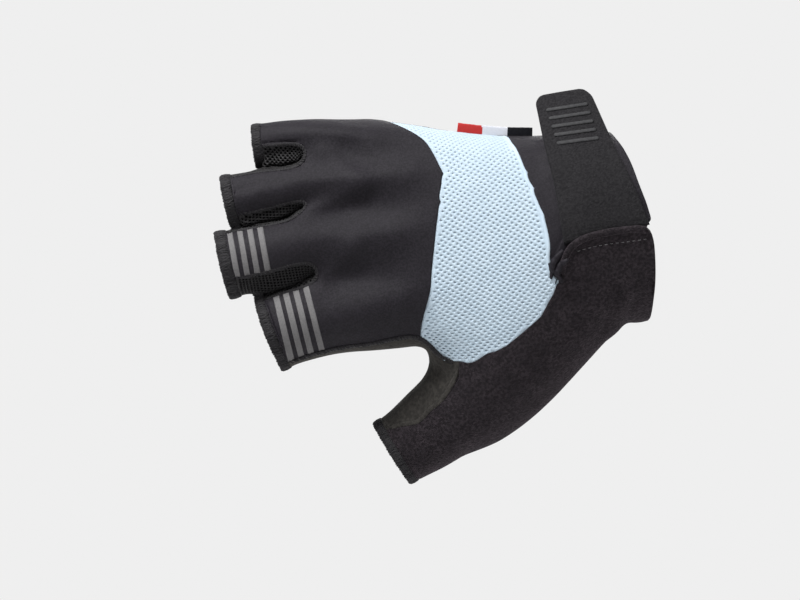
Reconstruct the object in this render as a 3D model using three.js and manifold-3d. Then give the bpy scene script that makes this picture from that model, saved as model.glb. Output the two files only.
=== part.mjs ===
// Right-hand short-finger cycling glove in the shape it has when worn.
// Millimetres, +Z up. The back of the hand faces -Y, the fingers point along -X, the thumb hangs towards -Z.
// The origin is the middle of the cuff opening.
import * as THREE from 'three';
import Module from 'manifold-3d';
import { mergeVertices } from 'three/addons/utils/BufferGeometryUtils.js';

const wasm = await Module();
wasm.setup();

// Overall sizes that the tables below are shares of
const GLOVE_LENGTH = 133; // cuff opening to the middle finger's hem
const PALM_WIDTH = 72; // across the four knuckles
const PALM_DEPTH = 30; // back to palm at the knuckles

// Cloth thickness of each panel
const KNIT_WALL = 1.2;
const AIR_MESH_WALL = 1.4;
const TERRY_WALL = 1.8;
const SUEDE_WALL = 1.6;
const GUSSET_WALL = 1.0;
const HEM_WALL = 1.9;
const HEM_LIFT = 0.35; // how far a hem stands proud of the panel it finishes
const HEM_WIDTH = 2.6;
const SEAM_GAP = 0.3; // between neighbouring panels

// Where the terry's edge is folded over the root of the strap it stands proud of the wrist
const FOLD_LIFT = 1.6;
const FOLD_WIDTH = 7.0; // how far from the fold the terry takes to lie flat again

// Closing strap
const STRAP_THICKNESS = 1.7;
const STRAP_CLEARANCE = 0.4; // between the strap and the wrist panel below it
const STRAP_CORNER = 3.0; // radius of the tip's corners
const STRAP_FREE_FROM = 0.52; // share of its length at which the strap leaves the wrist
const STRAP_CURL = 1.2; // how much the free end keeps bending with the wrist
const RIB_COUNT = 5;
const RIB_LENGTH = 14;
const RIB_WIDTH = 1.3;
const RIB_HEIGHT = 0.6;
const RIB_PITCH = 2.7;
const RIB_FROM_TIP = 4.6;
const RIB_CENTRE = 0.48; // share of the strap's width

// Ribbon tab in the seam on the little finger's side
const TAB_LENGTH = 23.8;
const TAB_HEIGHT = 2.6;
const TAB_THICKNESS = 1.1;
const TAB_CLEARANCE = 0.3;
const TAB_ALONG = 0.251; // share of the glove's length at the end nearest the cuff

// Sections of the fingers at the hem, halfway and at the root. Along is a share of the glove's length,
// across and width are shares of the palm's width, rise towards the back of the hand and depth are shares of
// the palm's depth. The back panel runs between two angles, counted from straight back towards the thumb.
const FINGERS = [
  {
    name: 'little',
    sections: [
      { along: 0.907, across: 0.358, rise: -0.17, width: 0.183, depth: 0.480, from: -84, to: 6 },
      { along: 0.852, across: 0.370, rise: -0.12, width: 0.185, depth: 0.520, from: -78, to: 8 },
      { along: 0.792, across: 0.379, rise: -0.06, width: 0.185, depth: 0.567, from: -68, to: 14 },
    ],
  },
  {
    name: 'ring',
    sections: [
      { along: 0.967, across: 0.112, rise: -0.05, width: 0.231, depth: 0.573, from: -60, to: 37 },
      { along: 0.872, across: 0.149, rise: 0.0, width: 0.222, depth: 0.620, from: -58, to: 39 },
      { along: 0.792, across: 0.180, rise: 0.04, width: 0.203, depth: 0.660, from: -48, to: 38 },
    ],
  },
  {
    name: 'middle',
    sections: [
      { along: 0.972, across: -0.160, rise: 0.0, width: 0.289, depth: 0.680, from: -66, to: 28 },
      { along: 0.878, across: -0.118, rise: 0.04, width: 0.292, depth: 0.720, from: -58, to: 32 },
      { along: 0.782, across: -0.069, rise: 0.07, width: 0.274, depth: 0.747, from: -52, to: 36 },
    ],
  },
  {
    name: 'index',
    sections: [
      { along: 0.871, across: -0.454, rise: -0.03, width: 0.336, depth: 0.733, from: -56, to: 68 },
      { along: 0.806, across: -0.409, rise: 0.02, width: 0.342, depth: 0.760, from: -58, to: 64 },
      { along: 0.735, across: -0.377, rise: 0.05, width: 0.347, depth: 0.793, from: -54, to: 62 },
    ],
  },
];
const FINGER_STATIONS = 4; // hem, the hem's other edge, halfway, root

// Thumb sections from its hem towards the web, in the same units, each with the slope of its axis
const THUMB = [
  { along: 0.582, across: -0.990, rise: -0.44, width: 0.306, depth: 0.700, turn: 32, from: -46, to: 56 },
  { along: 0.561, across: -0.966, rise: -0.43, width: 0.314, depth: 0.720, turn: 32, from: -44, to: 56 },
  { along: 0.519, across: -0.914, rise: -0.39, width: 0.350, depth: 0.780, turn: 34, from: -31, to: 56 },
  { along: 0.470, across: -0.846, rise: -0.34, width: 0.383, depth: 0.853, turn: 37, from: -25, to: 56 },
];

// Rings of the hand from the knuckle seam to the cuff. Each point is along, across, then the rise of the
// back and of the palm there. Side points have one rise. On the palm, even is how far the ring leaves the
// line of the back's seams and runs straight from side to side.
const RINGS = [
  {
    name: 'knuckle_seam',
    even: 0,
    ulnar: [0.610, 0.471, -0.13],
    little: [0.516, 0.386, 0.22, -0.44],
    ring: [0.469, 0.226, 0.42, -0.46],
    middle: [0.484, -0.017, 0.52, -0.44],
    index: [0.502, -0.313, 0.49, -0.44],
    corner: [0.521, -0.469, 0.30, -0.40],
    thumb_seam: [0.425, -0.599, 0.24, -0.66],
    thumb: [0.380, -0.764, 0.21, -0.76],
    radial: [0.336, -0.946, -0.32],
  },
  {
    name: 'mid_hand',
    even: 0.3,
    ulnar: [0.458, 0.430, -0.17],
    little: [0.399, 0.356, 0.27, -0.54],
    ring: [0.359, 0.217, 0.46, -0.52],
    middle: [0.352, 0.013, 0.55, -0.48],
    index: [0.357, -0.239, 0.55, -0.50],
    corner: [0.364, -0.391, 0.50, -0.60],
    thumb_seam: [0.305, -0.490, 0.45, -0.74],
    thumb: [0.265, -0.647, 0.30, -0.78],
    radial: [0.228, -0.794, -0.25],
  },
  {
    name: 'wrist_seam',
    even: 0.6,
    ulnar: [0.315, 0.404, -0.13],
    little: [0.291, 0.326, 0.30, -0.57],
    ring: [0.258, 0.204, 0.48, -0.58],
    middle: [0.232, 0.056, 0.58, -0.58],
    index: [0.216, -0.095, 0.62, -0.62],
    corner: [0.216, -0.160, 0.60, -0.66],
    thumb_seam: [0.202, -0.256, 0.57, -0.70],
    thumb: [0.157, -0.430, 0.40, -0.66],
    radial: [0.122, -0.586, -0.12],
  },
  {
    name: 'strap_root',
    even: 0.8,
    ulnar: [0.188, 0.408, -0.08],
    little: [0.174, 0.347, 0.33, -0.48],
    ring: [0.157, 0.278, 0.50, -0.58],
    middle: [0.148, 0.195, 0.60, -0.62],
    index: [0.160, 0.108, 0.645, -0.65],
    corner: [0.171, 0.028, 0.65, -0.66],
    thumb_seam: [0.186, -0.078, 0.64, -0.66],
    thumb: [0.075, -0.243, 0.51, -0.60],
    radial: [0.045, -0.430, -0.05],
  },
  {
    name: 'strap_middle',
    even: 0.6,
    ulnar: [0.130, 0.415, -0.055],
    little: [0.113, 0.350, 0.355, -0.44],
    ring: [0.095, 0.273, 0.525, -0.575],
    middle: [0.082, 0.187, 0.618, -0.635],
    index: [0.079, 0.098, 0.655, -0.665],
    corner: [0.084, 0.040, 0.66, -0.672],
    thumb_seam: [0.096, -0.022, 0.655, -0.67],
    thumb: [0.025, -0.207, 0.545, -0.59],
    radial: [0.012, -0.417, -0.025],
  },
  {
    name: 'cuff_edge',
    even: 0.4,
    ulnar: [0.072, 0.421, -0.03],
    little: [0.052, 0.352, 0.38, -0.40],
    ring: [0.032, 0.269, 0.55, -0.57],
    middle: [0.016, 0.178, 0.635, -0.65],
    index: [-0.002, 0.087, 0.665, -0.68],
    corner: [-0.008, 0.048, 0.67, -0.685],
    thumb_seam: [-0.013, 0.005, 0.67, -0.68],
    thumb: [-0.024, -0.174, 0.58, -0.58],
    radial: [-0.023, -0.404, 0.0],
  },
];
// The bottom of the web between index finger and thumb, on each side of it
const WEB = { index: [0.500, -0.517, -0.03], thumb: [0.502, -0.612, -0.18] };
const KNUCKLE_RISE = 0.035; // how far the knuckles stand up, as a share of the palm's depth
const KNUCKLE_ROWS = [1 / 3, 2 / 3];

// Share of the strap's length, then along and across of its left and of its right edge
const STRAP_ROWS = [
  { share: 0, left: [0.192, -0.047], right: [-0.001, 0.026] },
  { share: 0.33, left: [0.209, 0.161], right: [0.032, 0.176] },
  { share: 0.66, left: [0.230, 0.347], right: [0.074, 0.355] },
  { share: 1, left: [0.247, 0.558], right: [0.121, 0.594] },
];
const STRAP_STATIONS = 14;
const STRAP_COLUMNS = 8;
const RIB_STEPS = 4;

const SIDES = ['b0', 'b1', 'b2', 'radial', 'p2', 'p1', 'p0', 'ulnar']; // lines round a digit, back first
const radians = THREE.MathUtils.degToRad;

// A point of the glove's frame from shares
function place(along, across, rise) {
  return new THREE.Vector3(-along * GLOVE_LENGTH, -rise * PALM_DEPTH, across * PALM_WIDTH);
}

// Eight points round one digit, seen from its tip. turn is the slope of its axis in degrees.
function digitRing(section, turn) {
  const centre = place(section.along, section.across, section.rise);
  const slope = radians(turn);
  const aside = new THREE.Vector3(Math.sin(slope), 0, -Math.cos(slope));
  const back = new THREE.Vector3(0, -1, 0);
  const middle = (section.from + section.to) / 2;
  const half = (section.to - section.from) / 2;
  const angles = [-half, 0, half, 90, 180 - half, 180, 180 + half, 270];
  const ring = {};
  SIDES.forEach((side, i) => {
    const angle = radians(middle + angles[i]);
    ring[side] = centre
      .clone()
      .addScaledVector(aside, (Math.sin(angle) * section.width * PALM_WIDTH) / 2)
      .addScaledVector(back, (Math.cos(angle) * section.depth * PALM_DEPTH) / 2);
  });
  return ring;
}

function mix(a, b, share) {
  const mixed = {};
  for (const key of Object.keys(a)) {
    mixed[key] = a[key] + (b[key] - a[key]) * share;
  }
  return mixed;
}

function slopeBetween(from, to) {
  const run = place(from.along, from.across, 0).sub(place(to.along, to.across, 0));
  return { slope: THREE.MathUtils.radToDeg(Math.atan2(-run.z, -run.x)), length: run.length() };
}

function fingerRings(finger) {
  const [hem, halfway, root] = finger.sections;
  const outer = slopeBetween(hem, halfway);
  const whole = slopeBetween(hem, root);
  const hemEdge = mix(hem, halfway, HEM_WIDTH / outer.length);
  return [
    digitRing(hem, outer.slope),
    digitRing(hemEdge, outer.slope),
    digitRing(halfway, whole.slope),
    digitRing(root, whole.slope),
  ];
}

// The line round the hand through one row of RINGS, as the 32 or so named points that the cage needs
function handRing(row) {
  const keys = ['little', 'ring', 'middle', 'index', 'corner', 'thumb_seam', 'thumb'];
  const backs = keys.map((key) => place(row[key][0], row[key][1], row[key][2]));
  const palms = keys.map((key, i) => {
    const straight = THREE.MathUtils.lerp(row.ulnar[0], row.radial[0], (i + 1) / (keys.length + 1));
    return place(THREE.MathUtils.lerp(row[key][0], straight, row.even), row[key][1], row[key][3]);
  });
  const loop = [place(...row.ulnar), ...backs, place(...row.radial), ...palms.reverse()];
  const curve = new THREE.CatmullRomCurve3(loop, true, 'centripetal');
  const at = (position) => curve.getPoint((((position % loop.length) + loop.length) % loop.length) / loop.length);
  const points = { 'little.ulnar': at(0), 'thumb.radial': at(8) };
  const lines = [
    ['little', 0.5, 1, 1.34],
    ['ring', 1.67, 2, 2.34],
    ['middle', 2.67, 3, 3.34],
    ['index', 3.67, 4, 5],
    ['thumb', 6, 7, 7.5],
  ];
  for (const [digit, ...positions] of lines) {
    positions.forEach((position, i) => {
      points[`${digit}.b${i}`] = at(position);
      points[`${digit}.p${i}`] = at(-position);
    });
  }
  return points;
}

// The cage: named points at their places on the glove, and faces that know their panel
function makeCage() {
  const points = [];
  const names = new Map();
  const faces = [];
  const add = (line, station, point) => {
    names.set(`${line}@${station}`, points.length);
    points.push(point);
  };
  const index = (line, station) => {
    const found = names.get(`${line}@${station}`);
    if (found === undefined) {
      throw new Error(`the cage has no point ${line} at station ${station}`);
    }
    return found;
  };
  const FIRST_HAND = FINGER_STATIONS + KNUCKLE_ROWS.length; // station of the first row of RINGS
  const hand = RINGS.map(handRing);
  const rootStation = FINGER_STATIONS - 1;

  for (const finger of FINGERS) {
    const rings = fingerRings(finger);
    rings.forEach((ring, k) => SIDES.forEach((side) => add(`${finger.name}.${side}`, k, ring[side])));
    const lines = ['b0', 'b1', 'b2', 'p0', 'p1', 'p2'];
    if (finger.name === 'little') {
      lines.push('ulnar');
    }
    if (finger.name === 'index') {
      lines.push('radial');
    }
    for (const side of lines) {
      const line = `${finger.name}.${side}`;
      const start = side === 'radial' ? place(...WEB.index) : hand[0][line];
      const after = side === 'radial' ? start : hand[1][line];
      const path = new THREE.CatmullRomCurve3([rings[rootStation - 1][side], rings[rootStation][side], start, after]);
      KNUCKLE_ROWS.forEach((share, i) => {
        const point = path.getPoint((1 + share) / 3);
        if (side === 'b1') {
          point.y -= KNUCKLE_RISE * PALM_DEPTH;
        }
        add(line, rootStation + 1 + i, point);
      });
    }
  }
  THUMB.forEach((section, k) => {
    const ring = digitRing(section, section.turn);
    SIDES.forEach((side) => add(`thumb.${side}`, FIRST_HAND - THUMB.length + k, ring[side]));
  });
  hand.forEach((ring, k) => {
    for (const [line, point] of Object.entries(ring)) {
      add(line, FIRST_HAND + k, point);
    }
  });
  add('index.radial', FIRST_HAND, place(...WEB.index));
  add('thumb.ulnar', FIRST_HAND, place(...WEB.thumb));

  const strip = (a, b, from, to, panel) => {
    for (let k = from; k < to; k += 1) {
      faces.push({ loop: [index(a, k), index(b, k), index(b, k + 1), index(a, k + 1)], panel });
    }
  };
  const last = FIRST_HAND + RINGS.length - 1;
  const wristSeam = FIRST_HAND + RINGS.findIndex((row) => row.name === 'wrist_seam');

  FINGERS.forEach((finger, f) => {
    const line = (side) => `${finger.name}.${side}`;
    SIDES.forEach((side, i) => {
      strip(line(side), line(SIDES[(i + 1) % SIDES.length]), 0, 1, `hem_${finger.name}`);
    });
    const before = f > 0 ? `gusset_${FINGERS[f - 1].name}_${finger.name}` : null;
    const after = f < FINGERS.length - 1 ? `gusset_${finger.name}_${FINGERS[f + 1].name}` : null;
    strip(line('ulnar'), line('b0'), 1, rootStation, before ?? 'back_panel');
    strip(line('p0'), line('ulnar'), 1, rootStation, before ?? 'palm_panel');
    strip(line('b2'), line('radial'), 1, rootStation, after ?? 'palm_panel');
    strip(line('radial'), line('p2'), 1, rootStation, after ?? 'palm_panel');
    for (const [a, b] of [['b0', 'b1'], ['b1', 'b2']]) {
      strip(line(a), line(b), 1, FIRST_HAND, 'back_panel');
      strip(line(a), line(b), FIRST_HAND, wristSeam, 'mesh_panel');
      strip(line(a), line(b), wristSeam, last, 'wrist_panel');
    }
    strip(line('p1'), line('p0'), 1, last, 'palm_panel');
    strip(line('p2'), line('p1'), 1, last, 'palm_panel');
    if (after) {
      const next = FINGERS[f + 1].name;
      strip(line('b2'), `${next}.b0`, rootStation, FIRST_HAND, 'back_panel');
      strip(line('b2'), `${next}.b0`, FIRST_HAND, wristSeam, 'mesh_panel');
      strip(line('b2'), `${next}.b0`, wristSeam, last, 'wrist_panel');
      strip(`${next}.p0`, line('p2'), rootStation, last, 'palm_panel');
      addWeb(finger.name, next, rootStation, after);
    }
  });
  strip('little.ulnar', 'little.b0', rootStation, FIRST_HAND, 'back_panel');
  strip('little.ulnar', 'little.b0', FIRST_HAND, wristSeam, 'mesh_panel');
  strip('little.ulnar', 'little.b0', wristSeam, last, 'wrist_panel');
  strip('little.p0', 'little.ulnar', rootStation, last, 'palm_panel');
  strip('index.b2', 'index.radial', rootStation, FIRST_HAND, 'palm_panel');
  strip('index.radial', 'index.p2', rootStation, FIRST_HAND, 'palm_panel');
  strip('index.b2', 'thumb.b0', FIRST_HAND, wristSeam, 'mesh_panel');
  strip('index.b2', 'thumb.b0', wristSeam, last, 'wrist_panel');
  strip('thumb.p0', 'index.p2', FIRST_HAND, last, 'palm_panel');
  addWeb('index', 'thumb', FIRST_HAND, 'palm_panel');

  const thumbHem = FIRST_HAND - THUMB.length;
  SIDES.forEach((side, i) => {
    const next = SIDES[(i + 1) % SIDES.length];
    strip(`thumb.${side}`, `thumb.${next}`, thumbHem, thumbHem + 1, 'hem_thumb');
    const terry = ['b0', 'b1', 'b2', 'radial'].includes(side);
    const inner = side === 'ulnar' || side === 'p0';
    const panel = terry ? 'thumb_panel' : 'palm_panel';
    strip(`thumb.${side}`, `thumb.${next}`, thumbHem + 1, inner ? FIRST_HAND : last, panel);
  });

  // The bottom of the gap between two digits
  function addWeb(a, b, k, panel) {
    const back = [index(`${a}.b2`, k), index(`${a}.radial`, k), index(`${b}.ulnar`, k), index(`${b}.b0`, k)];
    const palm = [index(`${a}.radial`, k), index(`${a}.p2`, k), index(`${b}.p0`, k), index(`${b}.ulnar`, k)];
    faces.push({ loop: back, panel }, { loop: palm, panel });
  }
  return { points, faces };
}

// Neighbours of every point of a quad mesh: along edges, across faces, and along the open edge
function neighbours(mesh) {
  const around = mesh.points.map(() => ({ edges: new Set(), corners: [], open: [] }));
  const uses = new Map();
  for (const { loop } of mesh.faces) {
    loop.forEach((a, i) => {
      const b = loop[(i + 1) % 4];
      around[a].edges.add(b);
      around[b].edges.add(a);
      around[a].corners.push(loop[(i + 2) % 4]);
      const key = a < b ? `${a},${b}` : `${b},${a}`;
      uses.set(key, (uses.get(key) ?? 0) + 1);
    });
  }
  for (const [key, count] of uses) {
    if (count === 1) {
      const [a, b] = key.split(',').map(Number);
      around[a].open.push(b);
      around[b].open.push(a);
    }
  }
  return around;
}

const sum = (mesh, list) => [...list].reduce((total, i) => total.add(mesh.points[i]), new THREE.Vector3());

// Where a point of a Catmull-Clark cage ends up on the smooth surface
function limitPoint(mesh, around, i) {
  const { edges, corners, open } = around[i];
  if (open.length === 2) {
    return sum(mesh, open).addScaledVector(mesh.points[i], 4).divideScalar(6);
  }
  const n = edges.size;
  return sum(mesh, corners)
    .addScaledVector(sum(mesh, edges), 4)
    .addScaledVector(mesh.points[i], n * n)
    .divideScalar(n * (n + 5));
}

// Moves the cage so that its smooth surface passes through the places asked for
function fitCage(cage, rounds) {
  const around = neighbours(cage);
  const wanted = cage.points.map((point) => point.clone());
  for (let round = 0; round < rounds; round += 1) {
    const limits = cage.points.map((_, i) => limitPoint(cage, around, i));
    cage.points.forEach((point, i) => point.add(wanted[i]).sub(limits[i]));
  }
  return cage;
}

// One step of Catmull-Clark subdivision
function subdivide(mesh) {
  const around = neighbours(mesh);
  const points = mesh.points.map((point, i) => {
    const { edges, corners, open } = around[i];
    if (open.length === 2) {
      return sum(mesh, open).addScaledVector(point, 6).divideScalar(8);
    }
    const n = edges.size;
    const share = 1 / (4 * n * n);
    return point
      .clone()
      .multiplyScalar(1 - 7 / (4 * n))
      .addScaledVector(sum(mesh, edges), 6 * share)
      .addScaledVector(sum(mesh, corners), share);
  });
  const middles = mesh.faces.map(({ loop }) => {
    points.push(sum(mesh, loop).divideScalar(4));
    return points.length - 1;
  });
  const sides = new Map();
  mesh.faces.forEach(({ loop }, f) => {
    loop.forEach((a, i) => {
      const b = loop[(i + 1) % 4];
      const key = a < b ? `${a},${b}` : `${b},${a}`;
      sides.set(key, [...(sides.get(key) ?? []), f]);
    });
  });
  const halfway = new Map();
  for (const [key, touching] of sides) {
    const ends = key.split(',').map(Number);
    const point = sum(mesh, ends);
    if (touching.length === 2) {
      touching.forEach((f) => point.add(points[middles[f]]));
      point.divideScalar(4);
    } else {
      point.divideScalar(2);
    }
    halfway.set(key, points.length);
    points.push(point);
  }
  const half = (a, b) => halfway.get(a < b ? `${a},${b}` : `${b},${a}`);
  const faces = mesh.faces.flatMap(({ loop, panel }, f) =>
    loop.map((a, i) => ({
      loop: [a, half(a, loop[(i + 1) % 4]), middles[f], half(loop[(i + 3) % 4], a)],
      panel,
    })),
  );
  return { points, faces };
}

function smoothSurface() {
  const cage = fitCage(makeCage(), 12);
  const fine = subdivide(cage);
  const around = neighbours(fine);
  const points = fine.points.map((_, i) => limitPoint(fine, around, i));
  const normals = points.map(() => new THREE.Vector3());
  for (const { loop } of fine.faces) {
    const [a, b, c, d] = loop.map((i) => points[i]);
    const normal = new THREE.Vector3().subVectors(c, a).cross(new THREE.Vector3().subVectors(d, b));
    loop.forEach((i) => normals[i].add(normal));
  }
  normals.forEach((normal) => normal.normalize());
  return { points, normals, faces: fine.faces };
}

// A closed geometry from points and loops of three or four
function closedGeometry(points, loops) {
  const geometry = new THREE.BufferGeometry();
  const triangles = loops.flatMap((loop) => {
    if (loop.length === 3) {
      return loop;
    }
    const [a, b, c, d] = loop;
    const straight = points[a].distanceTo(points[c]) <= points[b].distanceTo(points[d]);
    return straight ? [a, b, c, a, c, d] : [a, b, d, b, c, d];
  });
  geometry.setAttribute('position', new THREE.Float32BufferAttribute(points.flatMap((p) => p.toArray()), 3));
  geometry.setIndex(triangles);
  geometry.computeVertexNormals();
  return geometry;
}

const loopsOf = (surface, panel) =>
  surface.faces.filter((face) => face.panel === panel).map((face) => face.loop);

// How far each point of the thumb panel stands proud, from the edge it shares with the wrist panel
function foldLift(surface) {
  const wrist = new Set(loopsOf(surface, 'wrist_panel').flat());
  const mesh = new Set(loopsOf(surface, 'mesh_panel').flat());
  const terry = [...new Set(loopsOf(surface, 'thumb_panel').flat())];
  const fold = terry.filter((i) => wrist.has(i) && !mesh.has(i)).map((i) => surface.points[i]);
  const corner = terry.filter((i) => wrist.has(i) && mesh.has(i)).map((i) => surface.points[i]);
  const reach = (point, places) => Math.min(...places.map((place) => place.distanceTo(point)));
  return (i) => {
    const point = surface.points[i];
    const near = Math.max(0, 1 - reach(point, fold) / FOLD_WIDTH);
    return FOLD_LIFT * near * Math.min(1, reach(point, corner) / FOLD_WIDTH);
  };
}

// The faces of one panel as a cloth wall: the outer skin, the inner skin and the cut edge between them
function panelGeometry(surface, panel, wall, lift) {
  const loops = loopsOf(surface, panel);
  const edges = new Map();
  for (const loop of loops) {
    loop.forEach((a, i) => edges.set(`${a},${loop[(i + 1) % 4]}`, [a, loop[(i + 1) % 4]]));
  }
  const rim = [...edges.values()].filter(([a, b]) => !edges.has(`${b},${a}`));
  const inward = new Map();
  for (const [a, b] of rim) {
    const run = new THREE.Vector3().subVectors(surface.points[b], surface.points[a]);
    for (const i of [a, b]) {
      const direction = new THREE.Vector3().crossVectors(surface.normals[i], run).normalize();
      inward.set(i, [...(inward.get(i) ?? []), direction]);
    }
  }
  const used = [...new Set(loops.flat())];
  const slot = new Map(used.map((i, k) => [i, k]));
  const outer = used.map((i) => {
    const point = surface.points[i].clone().addScaledVector(surface.normals[i], lift(i));
    const pull = inward.get(i);
    if (pull) {
      const [first, second] = pull;
      const shift = new THREE.Vector3().addVectors(first, second);
      point.addScaledVector(shift, SEAM_GAP / 2 / Math.max(1 + first.dot(second), 0.5));
    }
    return point;
  });
  const inner = used.map((i, k) => outer[k].clone().addScaledVector(surface.normals[i], -wall));
  const count = used.length;
  const skins = loops.flatMap((loop) => {
    const top = loop.map((i) => slot.get(i));
    return [top, [...top].reverse().map((k) => k + count)];
  });
  const cut = rim.map(([a, b]) => [slot.get(b), slot.get(a), slot.get(a) + count, slot.get(b) + count]);
  return closedGeometry([...outer, ...inner], [...skins, ...cut]);
}

// A slab from a grid of rows of points, with the same thickness all over
function slabGeometry(rows, normals, low, high) {
  const height = rows.length;
  const width = rows[0].length;
  const offset = (distance) => rows.flatMap((row, r) =>
    row.map((point, c) => point.clone().addScaledVector(normals[r][c], distance)));
  const points = [...offset(high), ...offset(low)];
  const at = (r, c, layer) => layer * width * height + r * width + c;
  const loops = [];
  for (let r = 0; r < height - 1; r += 1) {
    for (let c = 0; c < width - 1; c += 1) {
      loops.push([at(r, c, 0), at(r, c + 1, 0), at(r + 1, c + 1, 0), at(r + 1, c, 0)]);
      loops.push([at(r + 1, c, 1), at(r + 1, c + 1, 1), at(r, c + 1, 1), at(r, c, 1)]);
    }
  }
  const border = [];
  for (let c = 0; c < width - 1; c += 1) {
    border.push([[0, c], [0, c + 1]], [[height - 1, c + 1], [height - 1, c]]);
  }
  for (let r = 0; r < height - 1; r += 1) {
    border.push([[r + 1, 0], [r, 0]], [[r, width - 1], [r + 1, width - 1]]);
  }
  for (const [a, b] of border) {
    loops.push([at(...b, 0), at(...a, 0), at(...a, 1), at(...b, 1)]);
  }
  return closedGeometry(points, loops);
}

function gridNormals(rows) {
  const clampedRow = (r) => rows[Math.min(Math.max(r, 0), rows.length - 1)];
  return rows.map((row, r) => row.map((_, c) => {
    const left = row[Math.max(c - 1, 0)];
    const right = row[Math.min(c + 1, row.length - 1)];
    const across = new THREE.Vector3().subVectors(right, left);
    const along = new THREE.Vector3().subVectors(clampedRow(r + 1)[c], clampedRow(r - 1)[c]);
    return across.cross(along).normalize();
  }));
}

function surfaceMesh(surface) {
  const mesh = new THREE.Mesh(closedGeometry(surface.points, surface.faces.map((face) => face.loop)));
  mesh.material.side = THREE.DoubleSide;
  mesh.updateMatrixWorld();
  return mesh;
}

function hit(mesh, origin, direction) {
  return new THREE.Raycaster(origin, direction).intersectObject(mesh)[0]?.point ?? null;
}

// Left and right edge of the strap at a share of its length, in the plane of the back of the hand
function strapEdge(side, share) {
  const path = new THREE.CatmullRomCurve3(STRAP_ROWS.map((row) => place(row[side][0], row[side][1], 0)));
  return path.getPoint(share);
}

// The strap's underside: it follows the wrist, then leaves it and stands free
function strapSheet(surface) {
  const mesh = surfaceMesh(surface);
  const length = strapEdge('left', 0).distanceTo(strapEdge('left', 1));
  const shares = [];
  for (let i = 0; i <= STRAP_STATIONS; i += 1) {
    shares.push((i / STRAP_STATIONS) * (1 - STRAP_CORNER / length));
  }
  shares.push(1 - (0.35 * STRAP_CORNER) / length, 1 - (0.08 * STRAP_CORNER) / length, 1);
  const rows = shares.map((share) => {
    const left = strapEdge('left', share);
    const right = strapEdge('right', share);
    const short = Math.max(0, STRAP_CORNER - (1 - share) * length);
    const inset = STRAP_CORNER - Math.sqrt(STRAP_CORNER ** 2 - short ** 2);
    const width = left.distanceTo(right);
    const row = [];
    for (let c = 0; c <= STRAP_COLUMNS; c += 1) {
      row.push(left.clone().lerp(right, inset / width + (c / STRAP_COLUMNS) * (1 - (2 * inset) / width)));
    }
    return row;
  });
  const lastHeld = shares.findLastIndex((share) => share <= STRAP_FREE_FROM);
  for (let r = 0; r <= lastHeld; r += 1) {
    for (const point of rows[r]) {
      point.y = hit(mesh, point.clone().setY(-GLOVE_LENGTH), new THREE.Vector3(0, 1, 0)).y;
    }
  }
  const rise = (r) => rows[r].reduce((total, point) => total + point.y, 0) / rows[r].length;
  const slope = (rise(lastHeld) - rise(lastHeld - 1)) / (shares[lastHeld] - shares[lastHeld - 1]);
  for (let r = lastHeld + 1; r < rows.length; r += 1) {
    const free = shares[r] - shares[lastHeld];
    rows[r].forEach((point, c) => {
      point.y = rows[lastHeld][c].y + free * slope * (1 + STRAP_CURL * free);
    });
  }
  return { rows, shares, length };
}

function toManifold(geometry) {
  const bare = geometry.clone();
  bare.deleteAttribute('normal');
  bare.deleteAttribute('uv');
  const merged = mergeVertices(bare, 1e-4);
  return new wasm.Manifold(new wasm.Mesh({
    numProp: 3,
    vertProperties: new Float32Array(merged.attributes.position.array),
    triVerts: new Uint32Array(merged.index.array),
  }));
}

function fromManifold(solid) {
  const { vertProperties, triVerts } = solid.getMesh();
  const geometry = new THREE.BufferGeometry();
  geometry.setAttribute('position', new THREE.Float32BufferAttribute(vertProperties, 3));
  geometry.setIndex([...triVerts]);
  geometry.computeVertexNormals();
  return geometry;
}

// A value of the strap's grid at a share of its length and a share of its width
function onGrid(grid, shares, share, across) {
  const r = Math.max(0, shares.findLastIndex((start, i) => start <= share && i < shares.length - 1));
  const down = (share - shares[r]) / (shares[r + 1] - shares[r]);
  const c = Math.min(Math.floor(across * STRAP_COLUMNS), STRAP_COLUMNS - 1);
  const over = across * STRAP_COLUMNS - c;
  const edge = (row) => row[c].clone().lerp(row[c + 1], over);
  return edge(grid[r]).lerp(edge(grid[r + 1]), down);
}

function strapGeometry(surface) {
  const { rows, shares, length } = strapSheet(surface);
  const normals = gridNormals(rows);
  const top = STRAP_CLEARANCE + STRAP_THICKNESS;
  let strap = toManifold(slabGeometry(rows, normals, STRAP_CLEARANCE, top));
  for (let i = 0; i < RIB_COUNT; i += 1) {
    const middle = 1 - (RIB_FROM_TIP + i * RIB_PITCH) / length;
    const width = onGrid(rows, shares, middle, 0).distanceTo(onGrid(rows, shares, middle, 1));
    const half = RIB_LENGTH / width / 2;
    const sample = (grid) => [RIB_WIDTH / 2, -RIB_WIDTH / 2].map((aside) => {
      const line = [];
      for (let k = 0; k <= RIB_STEPS; k += 1) {
        const across = RIB_CENTRE - half + (2 * half * k) / RIB_STEPS;
        line.push(onGrid(grid, shares, middle - aside / length, across));
      }
      return line;
    });
    strap = strap.add(toManifold(slabGeometry(sample(rows), sample(normals), top - RIB_HEIGHT, top + RIB_HEIGHT)));
  }
  return fromManifold(strap);
}

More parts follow.
